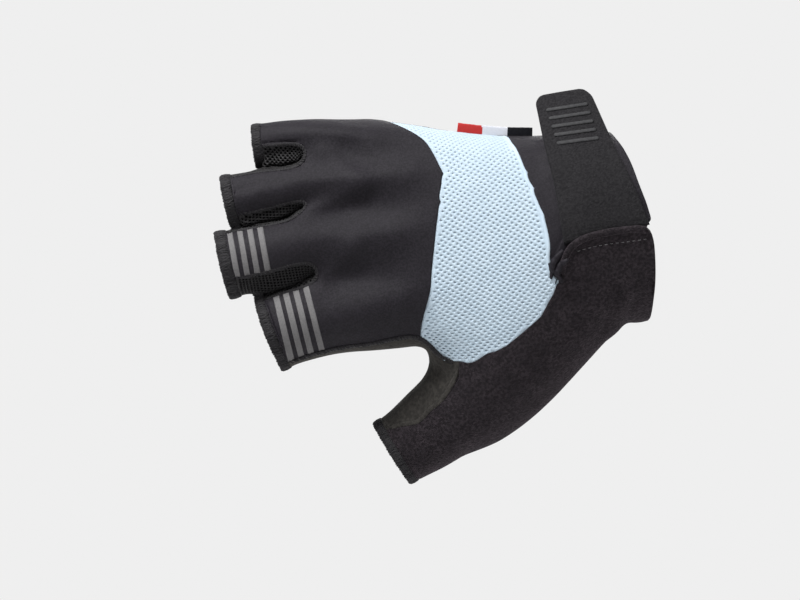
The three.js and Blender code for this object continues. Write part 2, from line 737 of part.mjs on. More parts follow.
// The ribbon follows the seam, so its foot is found from above
function tabGeometry(surface) {
  const mesh = surfaceMesh(surface);
  const steps = 10;
  const end = place(TAB_ALONG, 0, (RINGS[2].ulnar[2] + RINGS[1].ulnar[2]) / 2);
  const foot = [];
  for (let i = 0; i <= steps; i += 1) {
    const above = end.clone().setX(end.x - (TAB_LENGTH * (steps - i)) / steps).setZ(PALM_WIDTH);
    foot.push(hit(mesh, above, new THREE.Vector3(0, 0, -1)).setZ(
      hit(mesh, above, new THREE.Vector3(0, 0, -1)).z + TAB_CLEARANCE));
  }
  const rows = [foot, foot.map((point) => point.clone().setZ(point.z + TAB_HEIGHT))];
  const normals = rows.map((row) => row.map(() => new THREE.Vector3(0, -1, 0)));
  return slabGeometry(rows, normals, -TAB_THICKNESS / 2, TAB_THICKNESS / 2);
}

const finishes = {
  knit: { color: '#2b2a2f', roughness: 0.75 },
  airMesh: { color: '#cfe0ee', roughness: 0.8 },
  terry: { color: '#252327', roughness: 0.95 },
  suede: { color: '#33332f', roughness: 0.85 },
  gusset: { color: '#1a1a1b', roughness: 0.9 },
  hem: { color: '#303036', roughness: 0.9 },
  strap: { color: '#2c2d2e', roughness: 0.7 },
  tab: { color: '#c8232a', roughness: 0.7 },
};

function piece(name, geometry, finish) {
  const mesh = new THREE.Mesh(geometry, new THREE.MeshStandardMaterial({ ...finish, metalness: 0 }));
  mesh.name = name;
  return mesh;
}

function panels(surface) {
  const flat = () => 0;
  const proud = () => HEM_LIFT;
  const cloths = [
    ['back_panel', KNIT_WALL, flat, finishes.knit],
    ['mesh_panel', AIR_MESH_WALL, flat, finishes.airMesh],
    ['wrist_panel', KNIT_WALL, flat, finishes.knit],
    ['thumb_panel', TERRY_WALL, foldLift(surface), finishes.terry],
    ['palm_panel', SUEDE_WALL, flat, finishes.suede],
    ['gusset_little_ring', GUSSET_WALL, flat, finishes.gusset],
    ['gusset_ring_middle', GUSSET_WALL, flat, finishes.gusset],
    ['gusset_middle_index', GUSSET_WALL, flat, finishes.gusset],
  ];
  for (const { name } of [...FINGERS, { name: 'thumb' }]) {
    cloths.push([`hem_${name}`, HEM_WALL, proud, finishes.hem]);
  }
  return cloths.map(([name, wall, lift, finish]) =>
    piece(name, panelGeometry(surface, name, wall, lift), finish));
}

const surface = smoothSurface();
const glove = new THREE.Group();
glove.add(...panels(surface));
glove.add(piece('cuff_strap', strapGeometry(surface), finishes.strap));
glove.add(piece('side_tab', tabGeometry(surface), finishes.tab));

export default glove;
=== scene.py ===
"""Short-finger cycling glove for the right hand, in the form it takes when worn.

Panels of dark knit, pale air mesh, terry and suede, with open mesh between the fingers, overlocked
hems, a closing strap with moulded ribs and a small ribbon tab. Lengths are in metres; MM turns
millimetres into metres.
"""

import math

import bmesh
import bpy
import numpy as np
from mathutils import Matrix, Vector, noise
from mathutils.bvhtree import BVHTree
from mathutils.interpolate import poly_3d_calc
from mathutils.kdtree import KDTree


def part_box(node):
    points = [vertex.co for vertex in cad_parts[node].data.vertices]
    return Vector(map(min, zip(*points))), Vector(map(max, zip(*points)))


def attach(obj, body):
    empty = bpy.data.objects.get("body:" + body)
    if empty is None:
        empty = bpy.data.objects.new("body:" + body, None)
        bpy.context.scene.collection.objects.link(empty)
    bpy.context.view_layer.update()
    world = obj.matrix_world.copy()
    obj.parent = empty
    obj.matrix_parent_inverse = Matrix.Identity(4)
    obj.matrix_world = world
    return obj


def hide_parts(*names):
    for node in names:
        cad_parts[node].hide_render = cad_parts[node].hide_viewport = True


MM = 0.001
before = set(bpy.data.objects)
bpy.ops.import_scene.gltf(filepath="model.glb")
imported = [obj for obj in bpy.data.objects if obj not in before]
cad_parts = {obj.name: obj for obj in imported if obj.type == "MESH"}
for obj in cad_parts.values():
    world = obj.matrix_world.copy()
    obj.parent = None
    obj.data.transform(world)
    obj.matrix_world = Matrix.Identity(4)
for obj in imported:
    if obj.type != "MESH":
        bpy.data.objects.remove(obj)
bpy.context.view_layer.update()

# Camera
EYE = Vector((-75, -694, -22.5)) * MM
LENS = 100
SENSOR = 36
PHOTO_WIDE, PHOTO_HIGH = 800, 600
FOCAL = LENS / SENSOR * PHOTO_WIDE

camera_data = bpy.data.cameras.new("camera")
camera_data.lens = LENS
camera_data.sensor_width = SENSOR
camera = bpy.data.objects.new("camera", camera_data)
camera.location = EYE
camera.rotation_euler = (math.radians(90), 0, 0)
bpy.context.scene.collection.objects.link(camera)
bpy.context.scene.camera = camera
bpy.context.scene.view_settings.view_transform = "Standard"


def sight(across, down):
    """Direction from the eye through a place in the picture"""
    return Vector(((across - PHOTO_WIDE / 2) / FOCAL, 1, (PHOTO_HIGH / 2 - down) / FOCAL)).normalized()


def seen_at(point):
    """Place in the picture of a point"""
    off = point - EYE
    return PHOTO_WIDE / 2 + FOCAL * off.x / off.y, PHOTO_HIGH / 2 - FOCAL * off.z / off.y


# Materials
UV_UNIT = 10  # millimetres of cloth to one unit of a UV map
SHEEN_ROUGHNESS = 0.45
TINT_FROM, TINT_TO = 0.40, 0.60  # the stretch of the clouds over which a tint comes in
WAVES_PER_UNIT = 3.18  # bands of a wave pattern to one unit of its scale
YARN_DISTORTION = 1.2
BUMP_DEPTH = 0.5  # height of a bump as a share of its grain


def finish(name, colour, roughness, bumps=(), tints=(), sheen=0.0, sheen_tint=(1, 1, 1), specular=0.5):
    """A cloth or print finish. Each bump is (pattern, grain in mm, strength, coordinates) and each tint
    (grain in mm, second colour, share)."""
    material = bpy.data.materials.new(name)
    material.use_nodes = True
    nodes, links = material.node_tree.nodes, material.node_tree.links
    shader = nodes["Principled BSDF"]
    shader.inputs["Base Color"].default_value = (*colour, 1)
    shader.inputs["Roughness"].default_value = roughness
    shader.inputs["Specular IOR Level"].default_value = specular
    shader.inputs["Sheen Weight"].default_value = sheen
    shader.inputs["Sheen Roughness"].default_value = SHEEN_ROUGHNESS
    shader.inputs["Sheen Tint"].default_value = (*sheen_tint, 1)
    place = nodes.new("ShaderNodeTexCoord")
    shade = None
    for grain, second, share in tints:
        cloud = nodes.new("ShaderNodeTexNoise")
        cloud.inputs["Scale"].default_value = 1 / (grain * MM)
        cloud.inputs["Detail"].default_value = 3
        links.new(place.outputs["Object"], cloud.inputs["Vector"])
        ramp = nodes.new("ShaderNodeMapRange")
        ramp.inputs["From Min"].default_value = TINT_FROM
        ramp.inputs["From Max"].default_value = TINT_TO
        ramp.inputs["To Max"].default_value = share
        links.new(cloud.outputs["Fac"], ramp.inputs["Value"])
        mix = nodes.new("ShaderNodeMix")
        mix.data_type = "RGBA"
        mix.inputs["A"].default_value = (*colour, 1)
        mix.inputs["B"].default_value = (*second, 1)
        links.new(ramp.outputs["Result"], mix.inputs["Factor"])
        if shade:
            links.new(shade, mix.inputs["A"])
        shade = mix.outputs["Result"]
    if shade:
        links.new(shade, shader.inputs["Base Color"])
    below = None
    for pattern, grain, strength, where in bumps:
        if pattern == "noise":
            relief = nodes.new("ShaderNodeTexNoise")
            relief.inputs["Detail"].default_value = 4
            height = relief.outputs["Fac"]
        elif pattern == "cells":
            relief = nodes.new("ShaderNodeTexVoronoi")
            height = relief.outputs["Distance"]
        else:
            relief = nodes.new("ShaderNodeTexWave")
            relief.wave_type = "BANDS"
            relief.bands_direction = "X" if pattern == "wales" else "Y"
            relief.inputs["Distortion"].default_value = YARN_DISTORTION
            relief.inputs["Detail Scale"].default_value = 2
            height = relief.outputs["Fac"]
        per = 1 / (grain * MM) if where == "Object" else UV_UNIT / grain
        if pattern in ("wales", "courses"):
            per /= WAVES_PER_UNIT
        relief.inputs["Scale"].default_value = per
        links.new(place.outputs[where], relief.inputs["Vector"])
        bump = nodes.new("ShaderNodeBump")
        bump.inputs["Strength"].default_value = strength
        bump.inputs["Distance"].default_value = grain * MM * BUMP_DEPTH
        links.new(height, bump.inputs["Height"])
        if below:
            links.new(below, bump.inputs["Normal"])
        below = bump.outputs["Normal"]
    if below:
        links.new(below, shader.inputs["Normal"])
    return material


KNIT = finish(
    "dark_knit", (0.0122, 0.0103, 0.0139), 0.6,
    bumps=[("wales", 0.32, 0.25, "UV"), ("courses", 0.30, 0.25, "UV"), ("noise", 0.55, 0.4, "Object")],
    tints=[(7, (0.0140, 0.0122, 0.0160), 0.5), (0.6, (0.0046, 0.0038, 0.0056), 0.75)],
    sheen=0.02, sheen_tint=(0.75, 0.7, 0.8), specular=0.15)
AIR_MESH = finish(
    "pale_air_mesh", (0.390, 0.475, 0.545), 0.75,
    bumps=[("noise", 0.25, 0.45, "Object"), ("courses", 0.25, 0.4, "UV")],
    tints=[(5, (0.420, 0.502, 0.568), 0.6), (0.4, (0.340, 0.430, 0.510), 0.35)],
    sheen=0.15, specular=0.25)
MESH_LINING = finish(
    "mesh_lining", (0.400, 0.490, 0.560), 0.85,
    bumps=[("noise", 0.4, 0.5, "Object")],
    tints=[(1.5, (0.33, 0.41, 0.47), 0.6)],
    specular=0.2)
TERRY = finish(
    "terry", (0.0105, 0.0086, 0.0100), 0.95,
    bumps=[("noise", 0.4, 1.0, "Object"), ("cells", 0.5, 0.8, "Object")],
    tints=[(0.85, (0.0330, 0.0270, 0.0310), 0.75), (5, (0.0085, 0.0072, 0.0085), 0.4)],
    sheen=0.10, sheen_tint=(0.6, 0.48, 0.55), specular=0.12)
SUEDE = finish(
    "suede", (0.0290, 0.0265, 0.0240), 0.9,
    bumps=[("noise", 0.8, 0.6, "Object"), ("noise", 0.3, 0.5, "Object")],
    tints=[(4.5, (0.0410, 0.0380, 0.0340), 0.8), (1.1, (0.0130, 0.0120, 0.0110), 0.6)],
    sheen=0.10, sheen_tint=(0.8, 0.78, 0.72), specular=0.15)
GUSSET = finish(
    "gusset_mesh", (0.0062, 0.0057, 0.0062), 0.6,
    bumps=[("noise", 0.3, 0.5, "Object")],
    tints=[(0.8, (0.015, 0.014, 0.015), 0.6)],
    specular=0.25)
GUSSET_LINING = finish(
    "gusset_lining", (0.0025, 0.0025, 0.0025), 0.9,
    bumps=[("noise", 0.4, 0.5, "Object")],
    specular=0.1)
HEM = finish(
    "hem_binding", (0.0095, 0.0085, 0.0100), 0.8,
    bumps=[("noise", 0.3, 0.7, "Object")],
    tints=[(0.6, (0.0180, 0.0168, 0.0190), 0.6)],
    sheen=0.1, specular=0.25)
STRAP = finish(
    "strap_cloth", (0.0182, 0.0175, 0.0187), 0.9,
    bumps=[("noise", 0.4, 0.9, "Object"), ("cells", 0.6, 0.5, "Object")],
    tints=[(5, (0.0200, 0.0192, 0.0208), 0.5), (0.7, (0.0095, 0.0090, 0.0100), 0.75)],
    sheen=0.02, sheen_tint=(0.7, 0.7, 0.75), specular=0.08)
RIB = finish(
    "moulded_rib", (0.0330, 0.0330, 0.0345), 0.75,
    bumps=[("noise", 0.4, 0.4, "Object")],
    tints=[(0.9, (0.0230, 0.0230, 0.0245), 0.8)],
    specular=0.2)
PRINT = finish(
    "reflective_print", (0.1050, 0.1020, 0.1030), 0.7,
    bumps=[("noise", 0.35, 0.5, "Object")],
    tints=[(0.6, (0.078, 0.0755, 0.077), 0.6), (0.35, (0.135, 0.132, 0.133), 0.4)],
    specular=0.3)
THREAD = finish(
    "thread", (0.048, 0.045, 0.048), 0.7,
    bumps=[("noise", 0.15, 0.5, "Object")],
    tints=[(1.2, (0.105, 0.10, 0.105), 0.8)],
    sheen=0.1)
DARK_THREAD = finish(
    "dark_thread", (0.0075, 0.0068, 0.0080), 0.7,
    bumps=[("noise", 0.15, 0.5, "Object")],
    tints=[(0.9, (0.0150, 0.0140, 0.0155), 0.8)],
    sheen=0.08, specular=0.25)
WOVEN = [("courses", 0.3, 0.5, "UV"), ("wales", 0.25, 0.3, "UV")]
RIBBON_RED = finish(
    "ribbon_red", (0.335, 0.020, 0.018), 0.65,
    bumps=WOVEN, tints=[(0.6, (0.34, 0.014, 0.014), 0.5)], specular=0.2)
RIBBON_WHITE = finish(
    "ribbon_white", (0.48, 0.49, 0.53), 0.65,
    bumps=WOVEN, tints=[(0.6, (0.43, 0.45, 0.49), 0.5)], sheen=0.1)
RIBBON_BLACK = finish(
    "ribbon_black", (0.0030, 0.0032, 0.0050), 0.7,
    bumps=WOVEN, tints=[(0.6, (0.009, 0.0095, 0.012), 0.5)], specular=0.1)

# Cloth faces of the solids
FINGERS = ("little", "ring", "middle", "index", "thumb")
GUSSETS = ("gusset_little_ring", "gusset_ring_middle", "gusset_middle_index")
HEMS = tuple("hem_" + finger for finger in FINGERS)
PANELS = ("back_panel", "mesh_panel", "wrist_panel", "thumb_panel", "palm_panel") + GUSSETS + HEMS
SHARP = math.radians(40)
SAME_POINT = 2e-6
SEAM_REACH = 0.75 * MM  # how far apart the borders of neighbouring panels lie at most
SEWN = 0.25 * MM  # border points this near are one
RIM_ROUNDS = 10  # how often the open borders are eased
HEM_ROW = 0.72  # width of one row of the hems' faces, in millimetres
HEM_ROWS_LEFT = {"hem_little": 1, "hem_ring": 1, "hem_middle": 1, "hem_index": 1, "hem_thumb": 2}


def smooth_groups(bm):
    """Groups of faces that run on without a sharp edge, largest first"""
    left = set(bm.faces)
    groups = []
    while left:
        group, todo = [], [left.pop()]
        while todo:
            face = todo.pop()
            group.append(face)
            for edge in face.edges:
                if len(edge.link_faces) == 2 and edge.calc_face_angle() < SHARP:
                    for other in edge.link_faces:
                        if other in left:
                            left.remove(other)
                            todo.append(other)
        groups.append(group)
    return sorted(groups, key=lambda group: -sum(face.calc_area() for face in group))


def cloth_face(node):
    """The outer face of a panel's solid, in quads. A gusset's is in two halves, the fingers' sides."""
    bm = bmesh.new()
    bm.from_mesh(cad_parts[node].data)
    bmesh.ops.remove_doubles(bm, verts=bm.verts, dist=SAME_POINT)
    bm.normal_update()
    groups = smooth_groups(bm)
    outer = set(groups[0] + (groups[2] if node in GUSSETS else []))
    bmesh.ops.delete(bm, geom=[face for face in bm.faces if face not in outer], context="FACES")
    bmesh.ops.holes_fill(bm, edges=[edge for edge in bm.edges if edge.is_boundary], sides=6)
    bmesh.ops.join_triangles(bm, faces=bm.faces, angle_face_threshold=SHARP,
                             angle_shape_threshold=math.radians(180))
    return bm


def whole_skin():
    """All panels' outer faces sewn into one smooth surface; a face's material index says its panel"""
    whole = bmesh.new()
    for tag, node in enumerate(PANELS):
        part = cloth_face(node)
        for face in part.faces:
            face.material_index = tag
        mesh = bpy.data.meshes.new(node + "_face")
        part.to_mesh(mesh)
        part.free()
        whole.from_mesh(mesh)
        bpy.data.meshes.remove(mesh)
    borders = [vert for vert in whole.verts if vert.is_boundary]
    tree = KDTree(len(borders))
    for i, vert in enumerate(borders):
        tree.insert(vert.co, i)
    tree.balance()
    places = []
    for vert in borders:
        near = [found[0] for found in tree.find_range(vert.co, SEAM_REACH)]
        places.append(sum(near, Vector()) / len(near))
    for vert, place in zip(borders, places):
        vert.co = place
    bmesh.ops.remove_doubles(whole, verts=borders, dist=SEWN)
    mesh = bpy.data.meshes.new("skin")
    for _ in PANELS:
        mesh.materials.append(KNIT)
    whole.to_mesh(mesh)
    whole.free()
    holder = bpy.data.objects.new("skin", mesh)
    bpy.context.scene.collection.objects.link(holder)
    smooth = holder.modifiers.new("smooth", "SUBSURF")
    smooth.levels = smooth.render_levels = 2
    smooth.boundary_smooth = "PRESERVE_CORNERS"
    fine = bpy.data.meshes.new_from_object(holder.evaluated_get(bpy.context.evaluated_depsgraph_get()))
    bpy.data.objects.remove(holder)
    skin = bmesh.new()
    skin.from_mesh(fine)
    rims = {vert: [edge.other_vert(vert) for edge in vert.link_edges if edge.is_boundary]
            for vert in skin.verts if vert.is_boundary}
    for _ in range(RIM_ROUNDS):
        places = {vert: (vert.co * 2 + sum((one.co for one in near), Vector())) / (2 + len(near))
                  for vert, near in rims.items()}
        for vert, place in places.items():
            vert.co = place
    skin.normal_update()
    return skin


def narrow_hems(bm):
    """Gives the inner rows of each hem's cloth to the panels beside it, so that the bound band is narrower"""
    for hem, rows in HEM_ROWS_LEFT.items():
        tag = PANELS.index(hem)
        for _ in range(rows):
            given = {}
            for face in bm.faces:
                if face.material_index == tag:
                    for edge in face.edges:
                        for other in edge.link_faces:
                            if other.material_index != tag:
                                given[face] = other.material_index
            for face, other in given.items():
                face.material_index = other


skin = whole_skin()
narrow_hems(skin)

FOLDS = (  # creases of the worn cloth: from x, y to x, y and half width in the picture, height in millimetres
    (302, 217, 362, 184, 13, 1.35),
    (346, 226, 392, 212, 17, -0.4),
    (326, 152, 350, 176, 12, 0.7),
    (314, 290, 352, 248, 14, 1.1),
    (354, 240, 404, 250, 17, -0.35),
    (395, 262, 385, 335, 15, -0.35),
    (366, 150, 410, 165, 13, 0.4),
    (268, 132, 305, 133, 8, 0.3),
    (236, 190, 250, 186, 6, -0.4),
    (250, 200, 262, 190, 6, 0.3),
    (262, 184, 285, 180, 7, -0.3),
    (262, 312, 272, 345, 5, 0.2),
    (630, 286, 612, 338, 6, 0.8),
    (620, 286, 602, 330, 7, -0.6),
    (560, 300, 590, 320, 14, -0.4),
    (546, 140, 548, 176, 4, 0.35),
    (538, 140, 542, 176, 4, -0.3),
    (500, 430, 560, 400, 16, 0.35),
    (440, 430, 470, 462, 12, -0.35),
    (432, 366, 444, 380, 6, -0.7),
    (428, 385, 402, 410, 6, 0.5),
    (425, 362, 420, 372, 4, -0.6),
)
FOLD_SLOPE = 1.6  # how steeply a fold falls away from its line
FOLD_SIDE = 0.1  # cloth whose normal leans further than this from the viewer has no folds
FADED = 2.5  # half widths or reaches at which a fold or a shift has died out
WAVE_GRAIN = 9 * MM
WAVE_HEIGHT = 0.14 * MM


def shape_folds(bm):
    """Raises the folds on the back of the hand and gives all the cloth a slight unevenness"""
    moved = []
    for vert in bm.verts:
        lift = WAVE_HEIGHT * noise.noise(vert.co / WAVE_GRAIN)
        if vert.normal.y < FOLD_SIDE:
            across, down = seen_at(vert.co)
            for x0, y0, x1, y1, wide, high in FOLDS:
                run, fall = x1 - x0, y1 - y0
                along = ((across - x0) * run + (down - y0) * fall) / (run ** 2 + fall ** 2)
                along = min(1, max(0, along))
                away = math.hypot(across - x0 - along * run, down - y0 - along * fall) / wide
                if away < FADED:
                    facing = min(1, 0.35 - 2 * vert.normal.y)
                    lift += high * MM * math.exp(-FOLD_SLOPE * away * away) * facing
        moved.append(vert.co + vert.normal * lift)
    for vert, place in zip(bm.verts, moved):
        vert.co = place
    bm.normal_update()


GUSSET_REACH = 8 * MM
GUSSET_REST = 0.08 * MM  # gap left between the two sides
GUSSET_EASE = 1.8 * MM  # over this length from its seam a side comes in
GUSSET_UPPER, GUSSET_LOWER = 0.8, 0.2  # share of the gap taken by the side above and the side below
GUSSET_ROUNDS = 3
PUSH_ROUNDS = 4


def fill_gussets(bm):
    """Lets the two sides of each gusset bulge until they all but touch, as they do between fingers"""
    tree = BVHTree.FromBMesh(bm)
    push = {}
    for vert in bm.verts:
        tags = {face.material_index for face in vert.link_faces}
        if len(tags) == 1 and PANELS[min(tags)] in GUSSETS:
            hit = tree.ray_cast(vert.co + vert.normal * 1e-5, vert.normal, GUSSET_REACH)
            part = GUSSET_UPPER if vert.normal.z < 0 else GUSSET_LOWER
            push[vert] = max(0, hit[3] * part - GUSSET_REST) if hit[0] else 0.0
    rim = [vert for vert in bm.verts if vert not in push and any(
        PANELS[face.material_index] in GUSSETS for face in vert.link_faces)]
    near = KDTree(len(rim))
    for i, vert in enumerate(rim):
        near.insert(vert.co, i)
    near.balance()
    for _ in range(PUSH_ROUNDS):
        push = {vert: (far + sum(push.get(edge.other_vert(vert), far) for edge in vert.link_edges))
                / (1 + len(vert.link_edges)) for vert, far in push.items()}
    places = {}
    for vert, far in push.items():
        share = min(1, near.find(vert.co)[2] / GUSSET_EASE)
        places[vert] = vert.co + vert.normal * far * share * share * (3 - 2 * share)
    for vert, place in places.items():
        vert.co = place
    bm.normal_update()


BORDER_MOVES = (  # where seams wander from the even cut, in the picture: x, y, shift across and down, reach
    (534, 184, -6, 0, 34),
    (443, 196, -2, 0, 12),
    (448, 353, -6, 6, 9),
    (436, 343, -2, 5, 8),
    (459, 367, 0, -6, 7),
    (458, 378, 6, 3, 9),
    (441, 396, 4, 4, 12),
    (415, 415, 3, 4, 12),
    (550, 282, 5, 2, 8),
)
BORDER_SIDE = -0.05  # only cloth that faces the viewer this much is shifted
SMALLEST_SHIFT = 0.05
LONGEST_MOVE = 6 * MM


def move_borders(bm):
    """Slides the cloth along itself, so that its seams wander as sewn"""
    tree = BVHTree.FromBMesh(bm)
    moved = []
    for vert in bm.verts:
        if vert.normal.y > BORDER_SIDE:
            continue
        across, down = seen_at(vert.co)
        shift = Vector((0, 0))
        for x, y, aside, lower, reach in BORDER_MOVES:
            away = math.hypot(across - x, down - y) / reach
            if away < FADED:
                shift += Vector((aside, lower)) * math.exp(-away * away) * min(1, -3 * vert.normal.y)
        if shift.length > SMALLEST_SHIFT:
            hit = tree.ray_cast(EYE, sight(across + shift.x, down + shift.y))
            if hit[0] and (hit[0] - vert.co).length < LONGEST_MOVE:
                moved.append((vert, hit[0]))
    for vert, place in moved:
        vert.co = place
    bm.normal_update()


move_borders(skin)
shape_folds(skin)
for _ in range(GUSSET_ROUNDS):
    fill_gussets(skin)


# General making
pieces = {}  # every finished piece by its name
cuts = {}  # the flat cut of each cloth piece: width, length and area


def cut_size(bm, flat):
    """Width, length and area of a cloth laid flat, from its layout in millimetres"""
    wide, tall = np.ptp(flat, axis=0) * MM
    return wide, tall, sum(face.calc_area() for face in bm.faces)


def keep(bm, name, material, slot, *nodes):
    """The finished piece: named, lit smoothly, riding on the body and standing for its nodes"""
    for face in bm.faces:
        face.smooth = True
    mesh = bpy.data.meshes.new(name)
    bm.to_mesh(mesh)
    bm.free()
    pieces[name] = piece = bpy.data.objects.new(name, mesh)
    bpy.context.scene.collection.objects.link(piece)
    for one in material if isinstance(material, tuple) else (material,):
        mesh.materials.append(one)
    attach(piece, "root")
    if nodes:
        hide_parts(*nodes)


def give_wall(bm, wall, inwards=None):
    """Doubles a cloth face inwards by its wall in millimetres and closes the edge between. inwards holds the
    way in for each vertex where the face's own normals won't do."""
    inwards = inwards or {vert: -vert.normal for vert in bm.verts}
    faces = list(bm.faces)
    border = [edge for edge in bm.edges if edge.is_boundary]
    places = {vert: vert.co + inwards[vert] * wall * MM for vert in bm.verts}
    made = bmesh.ops.duplicate(bm, geom=list(bm.verts) + list(bm.edges) + faces)
    twins = {vert: made["vert_map"][vert] for vert in places}
    for vert, twin in twins.items():
        twin.co = places[vert]
    inner = [one for one in made["geom"] if isinstance(one, bmesh.types.BMFace)]
    bmesh.ops.reverse_faces(bm, faces=inner)
    skirt = bmesh.ops.extrude_edge_only(bm, edges=border)["geom"]
    old = KDTree(len(places))
    keys = list(places)
    for i, vert in enumerate(keys):
        old.insert(vert.co, i)
    old.balance()
    hanging = [one for one in skirt if isinstance(one, bmesh.types.BMVert)]
    bmesh.ops.weld_verts(bm, targetmap={vert: twins[keys[old.find(vert.co)[1]]] for vert in hanging})
    bm.normal_update()


def cut_out(*tags):
    """The faces of some panels, copied from the skin"""
    bm = skin.copy()
    gone = [face for face in bm.faces if PANELS[face.material_index] not in tags]
    bmesh.ops.delete(bm, geom=gone, context="FACES")
    for face in bm.faces:
        face.material_index = 0
    return bm


def unroll(bm):
    """Lays a cloth face out flat, in millimetres with +X to the right, and keeps that as its UV map"""
    mesh = bpy.data.meshes.new("flat")
    bm.to_mesh(mesh)
    flat = bpy.data.objects.new("flat", mesh)
    bpy.context.scene.collection.objects.link(flat)
    bpy.context.view_layer.objects.active = flat
    flat.select_set(True)
    bpy.ops.object.mode_set(mode="EDIT")
    bpy.ops.mesh.select_all(action="SELECT")
    bpy.ops.uv.unwrap(method="ANGLE_BASED", margin=0.001)
    bpy.ops.object.mode_set(mode="OBJECT")
    count = len(mesh.loops)
    where, which = np.zeros(count * 2, np.float32), np.zeros(count, np.int32)
    mesh.uv_layers.active.data.foreach_get("uv", where)
    mesh.loops.foreach_get("vertex_index", which)
    places = np.zeros((len(mesh.vertices), 2))
    places[which] = where.reshape(-1, 2)
    room = np.zeros(len(mesh.vertices) * 3)
    mesh.vertices.foreach_get("co", room)
    room = room.reshape(-1, 3)
    ends = np.zeros(len(mesh.edges) * 2, np.int32)
    mesh.edges.foreach_get("vertices", ends)
    ends = ends.reshape(-1, 2)
    bpy.data.objects.remove(flat)
    bpy.data.meshes.remove(mesh)
    far = np.linalg.norm(room[ends[:, 0]] - room[ends[:, 1]], axis=1).sum() / MM
    places *= far / np.linalg.norm(places[ends[:, 0]] - places[ends[:, 1]], axis=1).sum()
    places -= places.mean(axis=0)
    along = room[:, 0] - room[:, 0].mean()
    slope = np.linalg.lstsq(places, along, rcond=None)[0]
    turn = -math.atan2(slope[1], slope[0])
    turned = places @ np.array([[math.cos(turn), math.sin(turn)], [-math.sin(turn), math.cos(turn)]])
    sheet = bm.loops.layers.uv.verify()
    for face in bm.faces:
        for loop in face.loops:
            loop[sheet].uv = turned[loop.vert.index] / UV_UNIT
    return turned


CUFF_EASE = 5 * MM  # over this length the walls turn square to the hand's line, so that the cuff ends cleanly


def round_edge(bm, steps, lift=0.0):
    """Rolls the border of a cloth face under, and gives the way in for each vertex. Each step is (width of
    the strip, depth of its outer line); the first is the outermost."""
    ring = [vert for vert in bm.verts if vert.is_boundary]
    inner = list(bm.faces)
    depth = {}
    for wide, deep in steps:
        depth.update({vert: deep for vert in ring})
        made = bmesh.ops.inset_region(bm, faces=inner, use_boundary=True, use_even_offset=False,
                                      thickness=wide * MM)
        strip = set(made["faces"])
        inner = [face for face in inner if face.is_valid and face not in strip]
        outside = set(ring)
        ring = [vert for vert in {vert for face in strip for vert in face.verts} if vert not in outside]
    bm.normal_update()
    inwards = {vert: -vert.normal for vert in bm.verts}
    for vert, way in inwards.items():
        way.x *= min(1, max(0, -vert.co.x / CUFF_EASE))
        way.normalize()
        vert.co -= way * (lift - depth.get(vert, 0.0)) * MM
    bm.normal_update()
    return inwards


def border_paths(bm, one, *others):
    """Lines between a panel and its neighbours, or its open edge where none is named, each as
    [(point, normal)]"""
    linked = {}
    for edge in bm.edges:
        tags = [PANELS[face.material_index] for face in edge.link_faces]
        if one in tags and (len(tags) == 1 and not others or len(tags) == 2 and
                            any(tag in others for tag in tags if tag != one)):
            for vert in edge.verts:
                linked.setdefault(vert, []).append(edge.other_vert(vert))
    paths = []
    left = set(linked)
    while left:
        ends = [vert for vert in left if len(linked[vert]) == 1]
        start = min(ends or left, key=lambda vert: vert.index)
        path = [start]
        left.discard(start)
        while True:
            onward = [vert for vert in linked[path[-1]] if vert in left]
            if not onward:
                break
            path.append(onward[0])
            left.discard(onward[0])
        closed = len(path) > 3 and path[0] in linked[path[-1]]
        points = [(vert.co.copy(), vert.normal.copy()) for vert in path]
        paths.append(points + points[:1] if closed else points)
    return sorted(paths, key=lambda path: -len(path))


def even(path, step):
    """A line's points at equal distances, with their normals"""
    spans = [(b[0] - a[0]).length for a, b in zip(path, path[1:])]
    total = sum(spans)
    count = max(2, round(total / step))
    out, at, gone = [], 0, 0.0
    for i in range(count + 1):
        want = total * i / count
        while at < len(spans) - 1 and gone + spans[at] < want:
            gone += spans[at]
            at += 1
        share = min(1, max(0, (want - gone) / max(spans[at], 1e-9)))
        before, after = path[at], path[at + 1]
        out.append((before[0].lerp(after[0], share), before[1].lerp(after[1], share).normalized()))
    return out


def eased(path, rounds):
    """A line with its small corners smoothed, and its normals with them"""
    closed = (path[0][0] - path[-1][0]).length < 1e-7
    for _ in range(rounds):
        before = [path[-2]] + path[:-1] if closed else path[:1] + path[:-1]
        after = path[1:] + [path[1]] if closed else path[1:] + path[-1:]
        path = [((a[0] + b[0] * 2 + c[0]) / 4, (a[1] + b[1] * 2 + c[1]).normalized())
                for a, b, c in zip(before, path, after)]
    return path


def grid_piece(columns, rows, place, wrap=False):
    """A grid of columns by rows laid by place(share along, share across); wrap closes it across"""
    bm = bmesh.new()
    bmesh.ops.create_grid(bm, x_segments=columns, y_segments=rows, size=0.5, calc_uvs=True)
    for vert in bm.verts:
        vert.co = place(vert.co.x + 0.5, vert.co.y + 0.5)
    if wrap:
        bmesh.ops.remove_doubles(bm, verts=bm.verts, dist=1e-6)
    bm.normal_update()
    return bm


